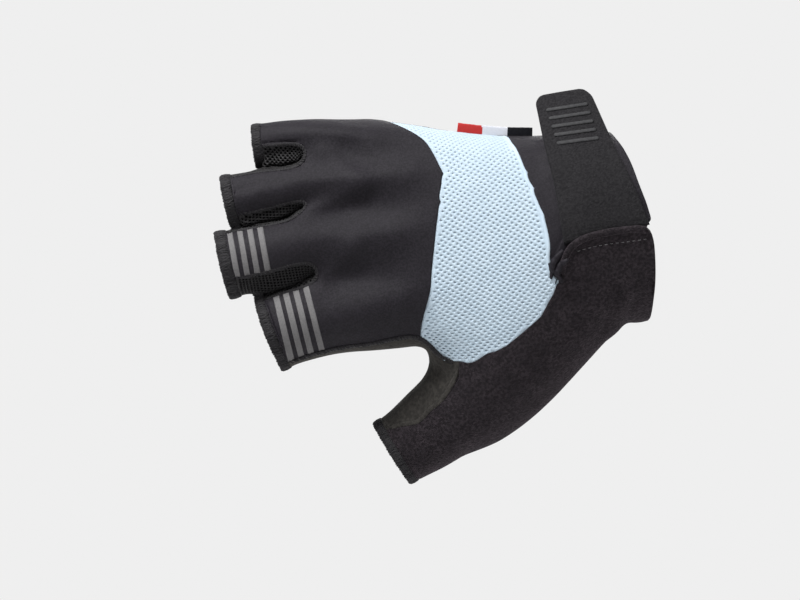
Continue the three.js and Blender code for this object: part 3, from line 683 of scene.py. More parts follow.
def tube(path, around, section, closed=False):
    """A closed skin round a line. section(share along, angle, length along) gives (out along the normal,
    aside) in millimetres."""
    count = len(path) - 1
    total = sum((b[0] - a[0]).length for a, b in zip(path, path[1:]))
    frames = []
    for i, (point, normal) in enumerate(path):
        before, after = path[max(0, i - 1)][0], path[min(count, i + 1)][0]
        if closed and i in (0, count):
            before, after = path[count - 1][0], path[1][0]
        run = (after - before).normalized()
        aside = run.cross(normal).normalized()
        frames.append((point, aside.cross(run).normalized(), aside))

    def place(along, across):
        i = min(count, round(along * count))
        point, up, aside = frames[i]
        out, wide = section(along, 2 * math.pi * across, along * total / MM)
        return point + up * out * MM + aside * wide * MM

    bm = grid_piece(count, around, place, wrap=True)
    ends = [edge for edge in bm.edges if edge.is_boundary]
    if ends:
        bmesh.ops.holes_fill(bm, edges=ends, sides=0)
    bmesh.ops.recalc_face_normals(bm, faces=bm.faces)
    return bm


ROUND_CORD = 0.8


def rounded(value, power):
    """A sine or cosine pressed outwards, so that a round section turns boxy; its sign stays"""
    return math.copysign(abs(value) ** power, value)


def overlock(path, name, material, slot, half_wide, high, low, pitch, ridge, slant=0.35):
    """A seam bound with thread: a low rounded cord with slanting ridges, one to a stitch. It stands high over
    the cloth and low into it; ridge is the share by which a stitch swells."""
    path = even(eased(path, 3), pitch * MM / 6)

    def section(along, angle, far):
        c, s = math.cos(angle), math.sin(angle)
        wide = half_wide * rounded(s, ROUND_CORD)
        out = (high if c > 0 else low) * rounded(c, ROUND_CORD)
        thread = abs(math.cos(math.pi * (far / pitch + slant * s)))
        grow = 1 + ridge * (thread - 0.6)
        taper = min(1, 0.25 + 8 * along, 0.25 + 8 * (1 - along))
        return out * grow * taper, wide * grow * taper

    keep(tube(path, 10, section), name, material, slot)


THREAD_END = 0.45  # thickness of a thread where it goes into the cloth, as a share
STRAND_STEPS = 6


def strand(bm, centre, radius, around):
    """Adds one thread to bm; centre(share) gives its place, the way out and the way aside"""
    made = bmesh.ops.create_grid(bm, x_segments=STRAND_STEPS, y_segments=around, size=0.5)["verts"]
    for vert in made:
        share, turn = vert.co.x + 0.5, 2 * math.pi * (vert.co.y + 0.5)
        point, out, aside = centre(share)
        thick = radius * MM * (THREAD_END if share in (0, 1) else 1)
        vert.co = point + (out * math.cos(turn) + aside * math.sin(turn)) * thick
    bmesh.ops.remove_doubles(bm, verts=made, dist=1e-7)


def along_path(path):
    """Finds the point, way out, way aside and way along at a distance on a line, in millimetres"""
    sums = [0.0]
    for a, b in zip(path, path[1:]):
        sums.append(sums[-1] + (b[0] - a[0]).length / MM)

    def at(far):
        far = min(max(far, 0), sums[-1] - 1e-6)
        i = max(0, int(np.searchsorted(sums, far, side="right")) - 1)
        i = min(i, len(path) - 2)
        share = (far - sums[i]) / max(sums[i + 1] - sums[i], 1e-9)
        point = path[i][0].lerp(path[i + 1][0], share)
        normal = path[i][1].lerp(path[i + 1][1], share)
        run = (path[i + 1][0] - path[i][0]).normalized()
        aside = run.cross(normal).normalized()
        return point, aside.cross(run).normalized(), aside, run

    return at, sums[-1]


def bound_threads(path, name, half_wide, high, low, pitch, radius, slant, turn):
    """Threads that wrap over a cord, one to a stitch and none quite like the next. Each leans along the cord
    by slant and wraps it from one side to the other, turn degrees from its crown."""
    at, total = along_path(path)
    bm = bmesh.new()
    for k in range(int(total / pitch)):
        start = (k + 0.5 + 0.22 * math.sin(k * 2.4) + 0.15 * math.sin(k * 7.1)) * pitch
        lean = slant * (1 + 0.35 * math.sin(k * 3.7))
        loft = 0.08 * math.sin(k * 5.3)

        def centre(share, start=start, lean=lean, loft=loft):
            angle = math.radians(-turn + 2 * turn * share)
            c, s = math.cos(angle), math.sin(angle)
            point, out, aside, run = at(start + lean * (share - 0.5))
            wide = (half_wide + loft) * rounded(s, ROUND_CORD)
            rise = (high + loft if c > 0 else low) * rounded(c, ROUND_CORD)
            away = (out * c + aside * s).normalized()
            return point + out * rise * MM + aside * wide * MM, away, run

        strand(bm, centre, radius, 5)
    bmesh.ops.recalc_face_normals(bm, faces=bm.faces)
    keep(bm, name, DARK_THREAD, "thread")


STITCH_SINK = 0.05


def dashes(path, name, length, gap, radius):
    """A row of stitches along a line, each arched a little"""
    at, total = along_path(path)
    bm = bmesh.new()
    for k in range(int((total - length) / (length + gap)) + 1):
        start = k * (length + gap)

        def centre(share, start=start):
            point, out, aside, run = at(start + length * share)
            rise = radius * (0.9 - 4.8 * (share - 0.5) ** 2) - STITCH_SINK
            return point + out * rise * MM, out, aside

        strand(bm, centre, radius, 6)
    bmesh.ops.recalc_face_normals(bm, faces=bm.faces)
    keep(bm, name, THREAD, "thread")


skin_tree = BVHTree.FromBMesh(skin)


def drawn(points, step=0.4, lift=0.0, only=None):
    """A line through places in the picture, laid on the cloth"""
    tree = skin_tree
    if only:
        part = cut_out(*only)
        tree = BVHTree.FromBMesh(part)
        part.free()
    curve = smooth_line([Vector((x, y, 0)) for x, y in points], 12)
    path = []
    for place in curve:
        hit = tree.ray_cast(EYE, sight(place.x, place.y))
        if hit[0] and hit[1].y < FOLD_SIDE:
            path.append((hit[0] + hit[1] * lift * MM, hit[1]))
    return even(path, step * MM)


def smooth_line(points, between):
    """A line through its points without corners"""
    ends = [points[0] * 2 - points[1]] + list(points) + [points[-1] * 2 - points[-2]]
    out = []
    for i in range(1, len(ends) - 2):
        a, b, c, d = ends[i - 1:i + 3]
        for k in range(between):
            t = k / between
            out.append(((b * 2) + (c - a) * t + (a * 2 - b * 5 + c * 4 - d) * t * t
                        + (b * 3 - a - c * 3 + d) * t ** 3) / 2)
    return out + [points[-1]]


FINE_STEP, SEAM_STEP = 0.15 * MM, 0.2 * MM  # along the lines that hems and seams are laid on

# Panels
EDGE_STEPS = ((0.10, 0.55), (0.14, 0.20), (0.22, 0.06), (0.3, 0.0))  # how the panels' edges roll under
LOOKS = (  # each panel's finish, slot, wall and how far it stands proud, in millimetres
    ("back_panel", KNIT, "knit", 1.2, 0.30),
    ("wrist_panel", KNIT, "knit", 1.2, 0.0),
    ("thumb_panel", TERRY, "terry", 1.8, 0.25),
    ("palm_panel", SUEDE, "suede", 1.6, 0.10),
)
for node, material, slot, wall, lift in LOOKS:
    face = cut_out(node)
    name = node.replace("_panel", "_cloth")
    cuts[name] = cut_size(face, unroll(face))
    give_wall(face, wall, round_edge(face, EDGE_STEPS, lift))
    keep(face, name, material, slot, node)


# Open meshes
def flat_finder(bm, flat):
    """Finds the cloth's place and normal from a place on the flat layout"""
    bm.verts.ensure_lookup_table()
    tree = BVHTree.FromPolygons([Vector((*place, 0)) for place in flat],
                                [[vert.index for vert in face.verts] for face in bm.faces])
    bm.faces.ensure_lookup_table()
    corners = [[vert.index for vert in face.verts] for face in bm.faces]
    points = [vert.co.copy() for vert in bm.verts]
    normals = [vert.normal.copy() for vert in bm.verts]
    flats = [Vector((*place, 0)) for place in flat]

    def find(place):
        near, _, which, away = tree.find_nearest(Vector((place[0], place[1], 0)))
        ids = corners[which]
        shares = [1 / max((flats[i] - near).length, 1e-6) for i in ids]
        weights = poly_3d_calc([flats[i] for i in ids], near) or [share / sum(shares) for share in shares]
        point = sum((points[i] * w for i, w in zip(ids, weights)), Vector())
        normal = sum((normals[i] * w for i, w in zip(ids, weights)), Vector()).normalized()
        return point, normal, away

    return find


def open_mesh(node, first, second, hole, tilt, dip, margin, fade=0.0):
    """A panel knitted with staggered oval holes, and its flat cut. first and second are the steps of the
    lattice, hole the oval's half length and half width, tilt its slope in degrees, dip how deep its rim lies,
    margin how far a hole may reach past the cloth and fade the share by which the holes are smaller at the
    little finger's side; lengths are in millimetres on the flat cloth."""
    face = cut_out(node)
    flat = unroll(face)
    find = flat_finder(face, flat)
    cut = cut_size(face, flat)
    low, high = flat.min(axis=0), flat.max(axis=0)
    upwards = np.sign(np.polyfit(flat[:, 1], [vert.co.z for vert in face.verts], 1)[0])
    step = np.array([first, second])
    corners = np.array([[x, y] for x in (low[0], high[0]) for y in (low[1], high[1])]) @ np.linalg.inv(step)
    start, end = np.floor(corners.min(axis=0)) - 1, np.ceil(corners.max(axis=0)) + 1
    wide, tall = (end - start).astype(int)
    bm = bmesh.new()
    bmesh.ops.create_grid(bm, x_segments=int(2 * wide), y_segments=int(2 * tall), size=0.5)
    cells = []
    for vert in bm.verts:
        place = start + np.array([(vert.co.x + 0.5) * wide, (vert.co.y + 0.5) * tall])
        vert.co = (*(place @ step), 0)
        if (np.round(place * 2).astype(int) % 2).all():
            cells.append(vert)
    bmesh.ops.dissolve_verts(bm, verts=cells)
    bm.normal_update()
    outside = {vert: find(vert.co)[2] for vert in bm.verts}
    gone = [one for one in bm.faces if min(outside[vert] for vert in one.verts) > 1e-4]
    bmesh.ops.delete(bm, geom=gone, context="FACES")
    holes = [one for one in bm.faces
             if len(one.verts) == 8 and max(outside[vert] for vert in one.verts) < margin]
    bmesh.ops.inset_individual(bm, faces=holes, thickness=0.05, use_even_offset=True)
    lean = math.radians(tilt)
    axis = Vector((math.cos(lean), math.sin(lean), 0))
    cross = Vector((-math.sin(lean), math.cos(lean), 0))
    dips = {}
    for one in holes:
        centre = sum((vert.co for vert in one.verts), Vector()) / len(one.verts)
        height = (centre.y - low[1]) / (high[1] - low[1])
        size = 1 - fade * (height if upwards > 0 else 1 - height)
        for vert in one.verts:
            off = vert.co - centre
            angle = math.atan2(off.dot(cross), off.dot(axis))
            vert.co = centre + (axis * hole[0] * math.cos(angle) + cross * hole[1] * math.sin(angle)) * size
            dips[vert] = dip * MM
    bmesh.ops.delete(bm, geom=holes, context="FACES")
    sheet = bm.loops.layers.uv.verify()
    for one in bm.faces:
        for loop in one.loops:
            loop[sheet].uv = loop.vert.co.xy / UV_UNIT
    for vert in bm.verts:
        point, normal, _ = find(vert.co)
        vert.co = point - normal * dips.get(vert, 0)
    bmesh.ops.remove_doubles(bm, verts=bm.verts, dist=2e-5)
    bmesh.ops.dissolve_degenerate(bm, dist=1e-5, edges=bm.edges)
    bm.normal_update()
    face.free()
    return bm, cut


def lining(node, depth, wall, name, material, slot):
    """A plain layer under an open mesh"""
    bm = cut_out(node)
    cuts[name] = cut_size(bm, unroll(bm))
    for vert in bm.verts:
        vert.co -= vert.normal * depth * MM
    bm.normal_update()
    give_wall(bm, wall)
    keep(bm, name, material, slot)


mesh_face, cuts["air_mesh"] = open_mesh("mesh_panel", first=(1.28, -0.68), second=(0.906, 1.04),
                                        hole=(0.50, 0.20), tilt=12, dip=0.10, margin=0.02, fade=0.62)
give_wall(mesh_face, wall=0.5)
keep(mesh_face, "air_mesh", AIR_MESH, "air_mesh", "mesh_panel")
lining("mesh_panel", depth=0.60, wall=0.4, name="air_mesh_lining", material=MESH_LINING, slot="air_mesh")
for node in GUSSETS:
    name = node.replace("gusset", "mesh_gusset")
    knit_face, cuts[name] = open_mesh(node, first=(0.98, -0.42), second=(0.30, 0.95),
                                      hole=(0.33, 0.24), tilt=20, dip=0.22, margin=0.05)
    give_wall(knit_face, wall=0.45)
    keep(knit_face, name, GUSSET, "gusset_mesh", node)
    lining(node, depth=0.7, wall=0.3, name=node + "_lining", material=GUSSET_LINING, slot="gusset_mesh")

# Hems, all sizes in millimetres
HEM_CLOTH = 2.9  # width of a hem's own cloth
HEM_OUT = {"little": 0.2, "ring": 0.3, "middle": 0.8, "index": 0.2, "thumb": 0.1}  # reach past the cloth
HEM_LAP = {"little": 0.8, "ring": 0.8, "middle": 0.8, "index": 0.8, "thumb": 1.6}  # lap over the cloth
HEM_PITCH = 0.82
HEM_RISE = 0.5
HEM_RIDGE = 0.10
HEM_SINK = 0.3
HEM_EASE = 30  # how often the band's line is eased
HEM_LEANS = (("over", 2.1), ("under", -1.7))  # the two threads that cross on a band
STALL_FOOT = {"thumb": Vector((-40, 0, -30)) * MM}  # a place on the hand's side of a stall; else the origin
for finger, hem_out in HEM_OUT.items():
    node = "hem_" + finger
    hem_wide = HEM_CLOTH - HEM_ROW * HEM_ROWS_LEFT[node] + hem_out + HEM_LAP[finger]
    loop = border_paths(skin, node)[0]
    loop = eased(even(eased(loop, 6), 0.3 * MM), 12)
    loop = even(loop, FINE_STEP)
    opening = sum((point for point, _ in loop), Vector()) / len(loop)
    inwards = (STALL_FOOT.get(finger, Vector()) - opening).normalized()
    path = []
    for i, (point, normal) in enumerate(loop):
        run = (loop[(i + 1) % (len(loop) - 1)][0] - loop[i - 1 if i else len(loop) - 2][0]).normalized()
        aside = run.cross(normal).normalized()
        if aside.dot(inwards) < 0:
            aside = -aside
        place = skin_tree.find_nearest(point + aside * (hem_wide / 2 - hem_out) * MM)
        path.append((place[0] - place[1] * HEM_SINK * MM, place[1]))
    path = eased(path, HEM_EASE)

    def hem_section(along, angle, far, half=hem_wide / 2):
        c, s = math.cos(angle), math.sin(angle)
        grow = HEM_RIDGE * abs(math.cos(math.pi * (far / HEM_PITCH + 0.9 * s)))
        return HEM_RISE * rounded(c, ROUND_CORD) + grow * c, half * rounded(s, 0.75) + grow * s

    keep(tube(path, 16, hem_section, closed=True), "bound_" + node, HEM, "hem_binding", node)
    for way, lean in HEM_LEANS:
        name = "threads_%s_%s" % (way, node)
        bound_threads(path, name, half_wide=hem_wide / 2 + 0.02, high=HEM_RISE + 0.05, low=HEM_RISE + 0.05,
                      pitch=HEM_PITCH, radius=0.24, slant=lean, turn=115)

# Seams between panels
def seam_line(one, other, which=0, step=FINE_STEP, rounds=3):
    """A line between two panels, ready for a seam"""
    return even(eased(border_paths(skin, one, other)[which], rounds), step)


def raised(path, lift):
    """A line moved out of the cloth by lift millimetres"""
    return [(point + normal * lift * MM, normal) for point, normal in path]


for other in GUSSETS:
    path = raised(seam_line("back_panel", other), 0.15)
    overlock(path, "seam_" + other, HEM, "hem_binding", half_wide=0.55, high=0.32, low=0.3, pitch=0.95,
             ridge=0.3)
    bound_threads(path, "threads_" + other, half_wide=0.58, high=0.36, low=0.3, pitch=0.95, radius=0.17,
                  slant=0.8, turn=85)
    path = seam_line("palm_panel", other, step=SEAM_STEP)
    overlock(path, "seam_palm_" + other, HEM, "hem_binding", half_wide=0.55, high=0.28, low=0.9, pitch=1.1,
             ridge=0.2)
index_side = border_paths(skin, "back_panel", "palm_panel")[0]
web_side = border_paths(skin, "mesh_panel", "palm_panel")[-1]
if (index_side[-1][0] - web_side[0][0]).length > 2 * MM:
    index_side = index_side[::-1] if (index_side[0][0] - web_side[0][0]).length < 2 * MM else index_side
rope = raised(even(eased(index_side + web_side[1:], 4), FINE_STEP), 0.2)
overlock(rope, "seam_index", HEM, "hem_binding", half_wide=0.85, high=0.55, low=0.5, pitch=0.9, ridge=0.25)
bound_threads(rope, "threads_index", half_wide=0.87, high=0.58, low=0.5, pitch=0.95, radius=0.19, slant=1.1,
              turn=85)
little_side = seam_line("back_panel", "palm_panel", which=1)
overlock(little_side, "seam_little", HEM, "hem_binding", half_wide=0.5, high=0.3, low=0.4, pitch=0.9,
         ridge=0.3)
web = raised(seam_line("thumb_panel", "palm_panel", which=1, step=SEAM_STEP), 0.2)
overlock(web, "seam_web", SUEDE, "suede", half_wide=0.75, high=0.35, low=0.4, pitch=1.3, ridge=0.12,
         slant=0.1)


def toward(path, tag, far):
    """A line moved along the cloth onto the panel named"""
    part = cut_out(tag)
    tree = BVHTree.FromBMesh(part)
    out = []
    for i, (point, normal) in enumerate(path):
        run = path[min(i + 1, len(path) - 1)][0] - path[max(i - 1, 0)][0]
        aside = run.cross(normal).normalized() * far * MM
        one, two = tree.find_nearest(point + aside), tree.find_nearest(point - aside)
        best = one if one[3] < two[3] else two
        out.append((best[0], normal))
    part.free()
    return out


roll = toward(seam_line("mesh_panel", "wrist_panel", step=SEAM_STEP), "mesh_panel", 0.45)
overlock(roll, "air_mesh_edge", AIR_MESH, "air_mesh", half_wide=0.6, high=0.3, low=0.4, pitch=1.5, ridge=0.08,
         slant=0.3)

# Strap
GLOVE_LENGTH, PALM_WIDTH = 133, 72
STRAP_ROWS = (  # along and across of the left and of the right edge, as shares of length and width
    ((0.192, -0.047), (-0.001, 0.026)),
    ((0.209, 0.161), (0.032, 0.176)),
    ((0.230, 0.347), (0.074, 0.355)),
    ((0.247, 0.558), (0.121, 0.594)),
)
STRAP_WALL, STRAP_CLEARANCE, STRAP_CORNER = 1.5, 0.55, 3.0
STRAP_TOP = STRAP_CLEARANCE + STRAP_WALL - 0.15
STRAP_FREE_FROM, STRAP_CURL = 0.52, 1.2
STRAP_DIP = 9  # how steeply its root goes under the folded edge, in millimetres to its whole length
STRAP_ROLL, ROLL_DEPTH, ROLL_POWER = 0.6, 0.62, 2.2  # how its edge rounds over
ROLL_STEPS = (0, 0.05, 0.15, 0.3, 0.5, 0.8)
CORNER_STEPS = (2.4, 1.8, 1.3)
STRAP_STEPS, EDGE_POINTS = 48, 40
INNER_COLUMNS = 18
STRAP_ACROSS = INNER_COLUMNS + 2 * len(ROLL_STEPS) - 1
STRAP_ROUNDS = 6
wrist = cut_out("wrist_panel", "mesh_panel")
wrist_tree = BVHTree.FromBMesh(wrist)
wrist.free()
edge_lines = [smooth_line([Vector((-row[side][0] * GLOVE_LENGTH, 0, row[side][1] * PALM_WIDTH)) * MM
                           for row in STRAP_ROWS], EDGE_POINTS) for side in (0, 1)]
strap_length = (edge_lines[0][-1] - edge_lines[0][0]).length / MM
strap_shares = [i / STRAP_STEPS * (1 - STRAP_CORNER / strap_length) for i in range(-2, STRAP_STEPS + 1)]
strap_shares += [1 - far / strap_length for far in CORNER_STEPS + ROLL_STEPS[::-1]]


def edge_at(side, share):
    """A place on the strap's left or right edge, seen flat"""
    line = edge_lines[side]
    far = share * (len(line) - 1)
    i = min(max(int(far), 0), len(line) - 2)
    return line[i].lerp(line[i + 1], far - i)


def strap_point(share, column):
    """A place of the strap's sheet, seen flat, its distance from the strap's edge and its share across"""
    left, right = edge_at(0, share), edge_at(1, share)
    wide = (right - left).length / MM
    tip = (1 - share) * strap_length
    short = max(0, STRAP_CORNER - tip)
    inset = STRAP_CORNER - math.sqrt(max(0, STRAP_CORNER ** 2 - short ** 2))
    room = wide - 2 * inset
    if column < len(ROLL_STEPS):
        aside = ROLL_STEPS[column]
    elif column > STRAP_ACROSS - len(ROLL_STEPS):
        aside = room - ROLL_STEPS[STRAP_ACROSS - column]
    else:
        flat_wide = room - 2 * ROLL_STEPS[-1]
        aside = ROLL_STEPS[-1] + flat_wide * (column - len(ROLL_STEPS) + 1) / (INNER_COLUMNS + 1)
    edge = min(aside, room - aside, tip)
    over = inset + min(aside, room - aside)
    if tip < STRAP_CORNER and over < STRAP_CORNER:
        edge = STRAP_CORNER - math.hypot(STRAP_CORNER - tip, STRAP_CORNER - over)
    return left.lerp(right, (inset + aside) / wide), edge, (inset + aside) / wide


def rest_depth(flat):
    """Depth of the wrist's cloth below a place"""
    hit = wrist_tree.ray_cast(Vector((flat.x, -0.2, flat.z)), Vector((0, 1, 0)))
    return hit[0].y if hit[0] else None


HELD_LINES = 20
HELD_FROM = 0.03
held = []
for k in range(HELD_LINES + 1):
    line = [(share, rest_depth(edge_at(0, share).lerp(edge_at(1, share), k / HELD_LINES)))
            for share in strap_shares if HELD_FROM < share <= STRAP_FREE_FROM]
    held.append([(share, depth) for share, depth in line if depth is not None])
slopes = [(line[-1][1] - line[-4][1]) / (line[-1][0] - line[-4][0]) for line in held]
free_slope = sum(slopes) / len(slopes)


def strap_depth(share, across):
    """Depth of the strap's underside: on the wrist, then free"""
    k = min(int(across * HELD_LINES), HELD_LINES - 1)
    over = across * HELD_LINES - k
    return held_depth(held[k], share) * (1 - over) + held_depth(held[k + 1], share) * over


def held_depth(line, share):
    """Depth on one line along the strap, carried on past the cloth that holds it"""
    if share > line[-1][0]:
        free = share - line[-1][0]
        return line[-1][1] + free * free_slope * (1 + STRAP_CURL * free)
    if share < line[0][0]:
        slope = (line[3][1] - line[0][1]) / (line[3][0] - line[0][0])
        return line[0][1] + slope * (share - line[0][0]) + STRAP_DIP * MM * (line[0][0] - share)
    for (a, low), (b, high) in zip(line, line[1:]):
        if share <= b:
            return low + (high - low) * (share - a) / (b - a)
    return line[-1][1]


edge_depths, row_numbers = {}, {}


def strap_place(along, across):
    """Place on the strap's underside; also notes how deep its top rolls there and its row"""
    share = strap_shares[round(along * (len(strap_shares) - 1))]
    column = round(across * STRAP_ACROSS)
    flat, edge, over = strap_point(share, column)
    place = Vector((flat.x, strap_depth(share, over), flat.z))
    edge_depths[place.to_tuple(6)] = ROLL_DEPTH * max(0, 1 - edge / STRAP_ROLL) ** ROLL_POWER
    row_numbers[place.to_tuple(6)] = share
    return place


strap = grid_piece(len(strap_shares) - 1, STRAP_ACROSS, strap_place)
if sum(face.normal.y for face in strap.faces) > 0:
    bmesh.ops.reverse_faces(strap, faces=strap.faces)
rolls = [edge_depths[vert.co.to_tuple(6)] for vert in strap.verts]
rows = {}
for vert in strap.verts:
    rows.setdefault(row_numbers[vert.co.to_tuple(6)], []).append(vert)
for _ in range(STRAP_ROUNDS):
    bmesh.ops.smooth_vert(strap, verts=[vert for vert in strap.verts if not vert.is_boundary], factor=0.5,
                          use_axis_y=True)
strap.normal_update()
ways = {}
for row in rows.values():
    middle = sorted(row, key=lambda vert: vert.co.x)[len(row) // 4:-len(row) // 4]
    way = -sum((vert.normal for vert in middle), Vector()).normalized()
    ways.update({vert: way for vert in row})
for vert, roll in zip(strap.verts, rolls):
    vert.co -= ways[vert] * (STRAP_TOP - roll) * MM
strap.normal_update()
strap_top_tree = BVHTree.FromBMesh(strap)
strap_wide = max((edge_at(1, share) - edge_at(0, share)).length for share in strap_shares)
strap_area = sum(face.calc_area() for face in strap.faces)
cuts["strap"] = strap_wide, max(strap_length * MM, strap_area / strap_wide), strap_area
give_wall(strap, STRAP_WALL - 0.6, ways)
keep(strap, "strap", STRAP, "strap", "cuff_strap")

RIBS, RIB_POINTS = 5, 24
RIB_HIGH, RIB_DEEP, RIB_HALF, RIB_END = 0.42, 0.25, 0.64, 0.6
RIB_FIRST, RIB_LAST = ((546, 110.5), (588, 104)), ((556.5, 143.5), (599, 138))  # ends in the picture
for k in range(RIBS):
    share = k / (RIBS - 1)
    left, right = (Vector(a).lerp(Vector(b), share) for a, b in zip(RIB_FIRST, RIB_LAST))
    path = []
    for i in range(RIB_POINTS + 1):
        place = left.lerp(right, i / RIB_POINTS)
        hit = strap_top_tree.ray_cast(EYE, sight(place.x, place.y))
        path.append((hit[0], hit[1]))
    rib_length = sum((b[0] - a[0]).length for a, b in zip(path, path[1:])) / MM

    def rib_section(along, angle, far):
        c, s = math.cos(angle), math.sin(angle)
        near = min(far, rib_length - far)
        taper = math.sqrt(max(0.03, 1 - max(0, 1 - near / RIB_END) ** 2))
        out = (RIB_HIGH if c > 0 else RIB_DEEP) * rounded(c, 0.55) * (0.5 + 0.5 * taper)
        return out, RIB_HALF * rounded(s, 0.6) * taper

    keep(tube(even(path, 0.25 * MM), 16, rib_section), "strap_rib_%d" % (k + 1), RIB, "moulded_rib")

# Folded edge over the strap
CUFF_CORNER = (652, 223)  # in the picture, where the fold meets the cuff's opening
FOLD_ABOVE = 285  # the fold lies above this line in the picture
FOLD_HIGH, FOLD_DEEP, FOLD_HALF = 0.75, 1.1, 1.15
terry_open = border_paths(skin, "thumb_panel")[0]
corner = min(range(len(terry_open)), key=lambda i: math.dist(seen_at(terry_open[i][0]), CUFF_CORNER))
first_half, second_half = terry_open[:corner + 1], terry_open[corner:]
fold_line = first_half if seen_at(first_half[len(first_half) // 2][0])[1] < FOLD_ABOVE else second_half[::-1]
fold_line = raised(even(eased(fold_line, 3), 0.3 * MM), 0.1)


def fold_section(along, angle, far):
    c, s = math.cos(angle), math.sin(angle)
    swell = 1 + 0.12 * noise.noise(Vector((far / 5, 1.7, 0)))
    return (FOLD_HIGH if c > 0 else FOLD_DEEP) * rounded(c, ROUND_CORD) * swell, FOLD_HALF * s * swell


keep(tube(fold_line, 14, fold_section), "terry_fold", TERRY, "terry")
STITCH_LINE = ((577, 251), (593, 246.5), (610, 243.5), (630, 241), (651, 238))  # in the picture
stitch_line = drawn(STITCH_LINE, lift=0.35, only=("thumb_panel",))
dashes(stitch_line, "fold_stitches", length=0.95, gap=0.75, radius=0.14)

# Tucked ends
TUCKS = (  # folded cloth beside the strap's root: places in the picture, thickness and lift in millimetres
    (((563, 250), (557, 258), (553, 266), (556, 275)), 1.15, 0.9),
    (((567, 258), (561, 264), (558, 272), (561, 281)), 1.0, 1.3),
    (((549, 263), (552, 270), (551, 279)), 0.8, 0.3),
)
for k, (places, thick, lift) in enumerate(TUCKS):
    line = drawn(places, step=0.25, lift=lift)

    def tuck_section(along, angle, far, thick=thick, k=k):
        taper = 0.35 + 0.65 * math.sin(math.pi * min(1, max(0, along * 0.9 + 0.08)))
        c, s = math.cos(angle), math.sin(angle)
        rough = 1 + 0.25 * noise.noise(Vector((far / 1.3, c * 1.2, k * 4 + s * 1.2)))
        return thick * c * taper * rough, thick * s * taper * rough

    keep(tube(line, 14, tuck_section), "tucked_end_%d" % (k + 1), KNIT, "knit")

# Side tab
tab_low, tab_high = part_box("side_tab")
tab_mesh = bmesh.new()
tab_mesh.from_mesh(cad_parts["side_tab"].data)
tab_tree = BVHTree.FromBMesh(tab_mesh)
tab_mesh.free()
TAB_STEPS = 72
TAB_HIGH, TAB_DEEP, TAB_HALF = 2.5, 0.7, 0.5  # height over the seam, depth in it and half thickness
tab_y = (tab_low.y + tab_high.y) / 2
foot = []
for i in range(TAB_STEPS + 1):
    x = tab_low.x + (tab_high.x - tab_low.x) * (0.002 + 0.996 * i / TAB_STEPS)
    hit = tab_tree.ray_cast(Vector((x, tab_y, tab_low.z - 0.01)), Vector((0, 0, 1)))
    middle = hit[0].y if hit[0] else tab_y
    foot.append((Vector((x, middle, hit[0].z - TAB_DEEP * MM)), Vector((0, 0, 1))))


def tab_section(along, angle, far):
    c, s = math.cos(angle), math.sin(angle)
    top = TAB_HIGH + TAB_DEEP + 0.12 * noise.noise(Vector((far / 1.1, 3.1, 0)))
    wave = 0.12 * math.sin(far / 3.0)
    return top / 2 + top / 2 * rounded(c, 0.35), TAB_HALF * rounded(s, 0.5) + wave


tab = tube(foot, 24, tab_section)
for face in tab.faces:
    share = (face.calc_center_median().x - tab_low.x) / (tab_high.x - tab_low.x)
    face.material_index = min(2, int(share * 3))
keep(tab, "ribbon_tab", (RIBBON_RED, RIBBON_WHITE, RIBBON_BLACK), "ribbon", "side_tab")

# Printed stripes
STRIPES = (  # in the picture: each edge's top and bottom, left then right, and the finger's range down
    ((273.0, 296, 288.0, 361), (279.3, 296, 295.0, 361), (285, 374)),
    ((283.0, 294, 299.0, 359), (289.3, 294, 305.2, 359), (285, 374)),
    ((293.0, 291, 309.0, 357), (299.3, 291, 315.2, 357), (283, 374)),
    ((303.5, 289, 320.0, 354), (309.6, 289, 326.0, 354), (281, 374)),
    ((227.0, 233, 235.0, 279), (232.6, 233, 241.0, 279), (222, 287)),
    ((237.0, 231, 245.0, 277), (242.6, 231, 250.6, 277), (222, 286)),
    ((247.0, 229, 255.0, 275), (252.8, 229, 260.8, 275), (222, 284)),
    ((257.0, 227, 265.0, 271), (263.0, 227, 271.0, 271), (222, 282)),
)
PRINT_LIFT = 0.35  # height of the print over the skin; the back panel's cloth lies at 0.30
PRINT_WALL = 0.04
rim = [point for other in GUSSETS + HEMS + ("palm_panel", "mesh_panel")
       for line in border_paths(skin, "back_panel", other) for point, _ in even(line, 0.25 * MM)]
rim_tree = KDTree(len(rim))
for i, point in enumerate(rim):
    rim_tree.insert(point, i)
rim_tree.balance()
for k, (left, right, span) in enumerate(STRIPES):
    bm = cut_out("back_panel")
    for x0, y0, x1, y1, side in (left + (1,), right + (-1,)):
        across = sight(x1, y1).cross(sight(x0, y0)) * side
        if across.x * side < 0:
            across = -across
        bmesh.ops.bisect_plane(bm, geom=list(bm.verts) + list(bm.edges) + list(bm.faces), dist=1e-7,
                               plane_co=EYE, plane_no=across, clear_inner=True)
    out = [face for face in bm.faces if not span[0] < seen_at(face.calc_center_median())[1] < span[1]]
    bmesh.ops.delete(bm, geom=out, context="FACES")
    bmesh.ops.subdivide_edges(bm, edges=bm.edges, cuts=1, use_grid_fill=True)
    bm.normal_update()
    places = []
    for vert in bm.verts:
        away = rim_tree.find(vert.co)[2] / MM
        places.append(vert.co + vert.normal * (PRINT_LIFT - 0.5 * max(0, 1 - away / 0.45) ** 2) * MM)
    for vert, place in zip(bm.verts, places):
        vert.co = place
    bm.normal_update()
    give_wall(bm, PRINT_WALL)
    keep(bm, "stripe_%d" % (k + 1), PRINT, "reflective_print")

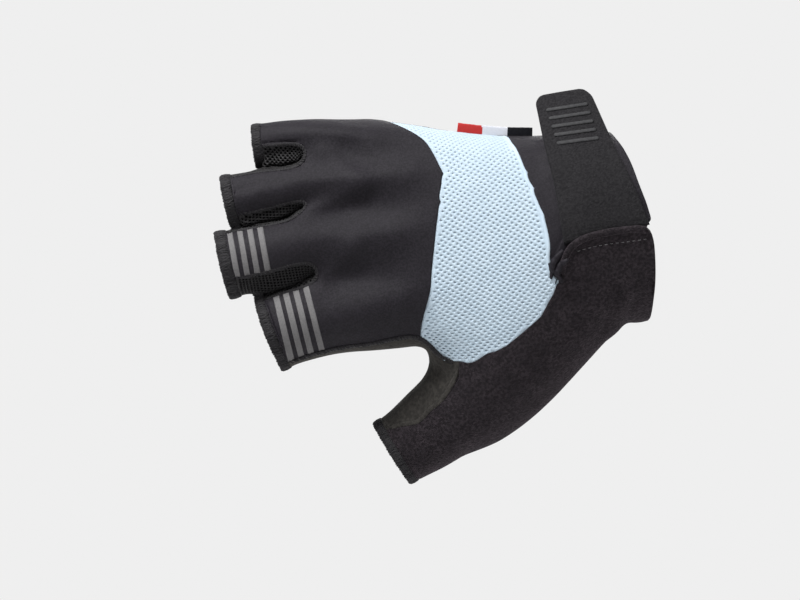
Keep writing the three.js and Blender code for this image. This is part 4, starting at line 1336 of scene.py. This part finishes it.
# Light and floor
BACKDROP = 0.863  # how bright the paper behind the glove is
world = bpy.data.worlds.new("studio")
world.use_nodes = True
SURROUND = ((0.0, 0.20), (0.5, 0.25), (1.0, 0.65))  # light from below, from the side and from above
sky = world.node_tree
plain = sky.nodes["Background"]
way = sky.nodes.new("ShaderNodeTexCoord")
parts = sky.nodes.new("ShaderNodeSeparateXYZ")
height = sky.nodes.new("ShaderNodeMapRange")
height.inputs["From Min"].default_value = -1
shades = sky.nodes.new("ShaderNodeValToRGB")
shades.color_ramp.elements.new(0.5)
for stop, (at, bright) in zip(shades.color_ramp.elements, SURROUND):
    stop.position = at
    stop.color = (bright, bright, bright * 1.02, 1)
sky.links.new(way.outputs["Generated"], parts.inputs["Vector"])
sky.links.new(parts.outputs["Z"], height.inputs["Value"])
sky.links.new(height.outputs["Result"], shades.inputs["Fac"])
sky.links.new(shades.outputs["Color"], plain.inputs["Color"])
paper = sky.nodes.new("ShaderNodeBackground")
paper.inputs["Color"].default_value = (BACKDROP, BACKDROP, BACKDROP, 1)
choice = sky.nodes.new("ShaderNodeMixShader")
rays = sky.nodes.new("ShaderNodeLightPath")
sky.links.new(rays.outputs["Is Camera Ray"], choice.inputs["Fac"])
sky.links.new(plain.outputs[0], choice.inputs[1])
sky.links.new(paper.outputs[0], choice.inputs[2])
sky.links.new(choice.outputs[0], sky.nodes["World Output"].inputs["Surface"])
bpy.context.scene.world = world


def lamp(name, place, target, size, power):
    """A large soft light that looks at a point"""
    data = bpy.data.lights.new(name, "AREA")
    data.shape = "DISK"
    data.size = size
    data.energy = power
    light = bpy.data.objects.new(name, data)
    light.location = place
    light.rotation_euler = (Vector(target) - Vector(place)).to_track_quat("-Z", "Y").to_euler()
    bpy.context.scene.collection.objects.link(light)


GLOVE_MIDDLE = (-0.065, 0.0, 0.0)
lamp("key", (-0.50, -0.47, 0.90), GLOVE_MIDDLE, size=0.45, power=24)
lamp("fill", (0.6, -0.9, -0.2), GLOVE_MIDDLE, size=0.9, power=2)
lamp("rear", (0.3, 1.0, 0.5), GLOVE_MIDDLE, size=0.8, power=8)

FLOOR_LEVEL, FLOOR_RADIUS, FLOOR_GLOW = -0.6, 3.0, 0.06
floor_mesh = bmesh.new()
bmesh.ops.create_circle(floor_mesh, cap_ends=True, segments=96, radius=FLOOR_RADIUS)
bmesh.ops.translate(floor_mesh, verts=floor_mesh.verts, vec=(0, 0, FLOOR_LEVEL))
floor_data = bpy.data.meshes.new("floor")
floor_mesh.to_mesh(floor_data)
floor_mesh.free()
floor = bpy.data.objects.new("floor", floor_data)
pale = finish("floor", (0.80, 0.80, 0.80), 0.9, bumps=[("noise", 4, 0.02, "Object")])
pale_shader = pale.node_tree.nodes["Principled BSDF"]
pale_shader.inputs["Emission Color"].default_value = (1, 1, 1, 1)
pale_shader.inputs["Emission Strength"].default_value = FLOOR_GLOW
floor_data.materials.append(pale)
bpy.context.scene.collection.objects.link(floor)
